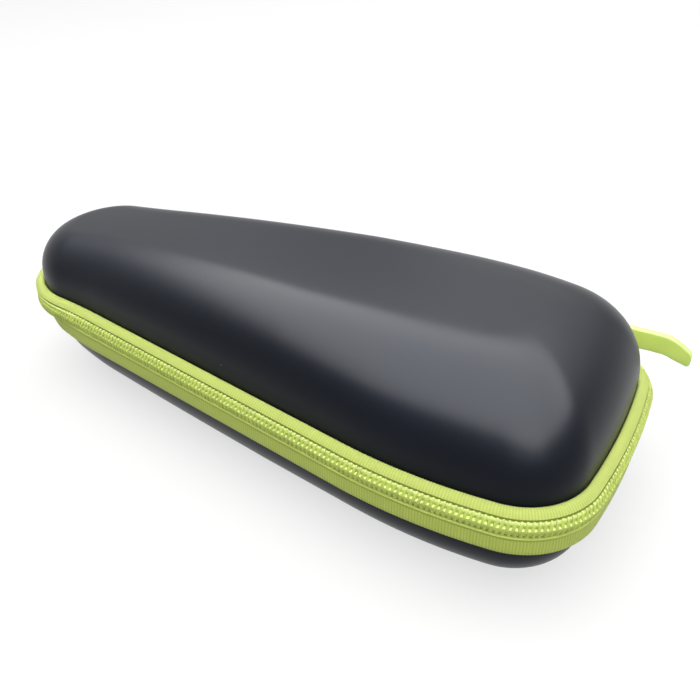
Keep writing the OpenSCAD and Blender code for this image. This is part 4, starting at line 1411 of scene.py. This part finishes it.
class HARDCASE_OT_stage(Piece, bpy.types.Operator):
    """Sets the floor, the light and the camera"""
    bl_idname = "hardcase.stage"
    bl_label = "Stage"

    def execute(self, context):
        scene = context.scene
        view = group("stage")
        scene.view_settings.view_transform = "Standard"
        self.floor()
        self.world(scene)
        for name, energy, size, place, look, gloss_only in LIGHTS:
            data = bpy.data.lights.new(name, "AREA")
            data.energy, data.shape = energy, "RECTANGLE"
            data.size, data.size_y = size
            lamp = bpy.data.objects.new(name, data)
            lamp.visible_diffuse = not gloss_only
            scene.collection.objects.link(lamp)
            lamp.location = place
            lamp.rotation_euler = (Vector(look) - Vector(place)).to_track_quat("-Z", "Y").to_euler()
        data = bpy.data.cameras.new("camera")
        data.lens, data.sensor_width, data.clip_start = view.lens, 36.0, 0.01
        camera = bpy.data.objects.new("camera", data)
        scene.collection.objects.link(camera)
        a, e = view.azimuth, view.elevation
        way = Vector((math.sin(a) * math.cos(e), -math.cos(a) * math.cos(e), math.sin(e)))
        camera.location = Vector(view.aim) + way * view.distance
        turn = (-way).to_track_quat("-Z", "Y").to_matrix() @ Matrix.Rotation(view.roll, 3, "Z")
        camera.rotation_euler = turn.to_euler()
        scene.camera = camera
        return {"FINISHED"}

    @staticmethod
    def seen(tree):
        """1 for the rays that see the background: from the camera, a gloss or a glass."""
        path = tree.node("ShaderNodeLightPath")
        both = path["Is Camera Ray"].math("MAXIMUM", path["Is Camera Ray"], path["Is Glossy Ray"])
        return both.math("MAXIMUM", both, path["Is Transmission Ray"])

    def floor(self):
        """A plain pale floor that shows nearly white and keeps the case's shadow."""
        plane = bpy.data.meshes.new("floor")
        w = 3.0
        plane.from_pydata([(-w, -w, 0), (w, -w, 0), (w, w, 0), (-w, w, 0)], [], [(0, 1, 2, 3)])
        item = make_object("floor", plane)
        f = Finish("Pale floor", Roughness=0.9, Specular_IOR_Level=0.0)
        mottle = f.noise(6, 2.0)
        f.set("Base Color", f.blend(mottle, (0.40, 0.40, 0.40), (0.42, 0.42, 0.42)))
        glow = f.blend(self.seen(f), (0, 0, 0), (0.62, 0.62, 0.62))
        f.set("Emission Color", glow)
        f.shader.inputs["Emission Strength"].default_value = 1.0
        plane.materials.append(f.material)

    def world(self, scene):
        """White where it is seen, and a dim even light elsewhere."""
        world = bpy.data.worlds.new("studio")
        world.use_nodes = True
        scene.world = world
        t = Tree(world.node_tree)
        back = world.node_tree.nodes["Background"]
        back.inputs["Color"].default_value = (1, 1, 1, 1)
        level = 0.20 + self.seen(t) * 0.80
        world.node_tree.links.new(level.socket, back.inputs["Strength"])


class HARDCASE_PT_case(bpy.types.Panel):
    """Sizes, colours and pieces of the case"""
    bl_label = "Hard case"
    bl_idname = "HARDCASE_PT_case"
    bl_space_type = "VIEW_3D"
    bl_region_type = "UI"
    bl_category = "Hard case"

    def draw(self, context):
        for kind in PIECES:
            self.layout.operator(kind.bl_idname)
        for name, kind in GROUPS.items():
            box = self.layout.box()
            box.label(text=kind.__doc__)
            for key in kind.__annotations__:
                box.prop(group(name), key)


PIECES = [HARDCASE_OT_stage, HARDCASE_OT_shells, HARDCASE_OT_linings, HARDCASE_OT_tapes,
          HARDCASE_OT_coil, HARDCASE_OT_stitching, HARDCASE_OT_inside, HARDCASE_OT_slider]


def register():
    for kind in [*GROUPS.values(), *PIECES, HARDCASE_PT_case]:
        bpy.utils.register_class(kind)
    for name, kind in GROUPS.items():
        setattr(bpy.types.Scene, "hardcase_" + name, bpy.props.PointerProperty(type=kind))


def unregister():
    for name in GROUPS:
        delattr(bpy.types.Scene, "hardcase_" + name)
    for kind in [HARDCASE_PT_case, *PIECES[::-1], *GROUPS.values()]:
        bpy.utils.unregister_class(kind)


def main():
    register()
    for kind in PIECES:
        area, name = kind.bl_idname.split(".")
        getattr(getattr(bpy.ops, area), name)()


if __name__ == "__main__":
    main()
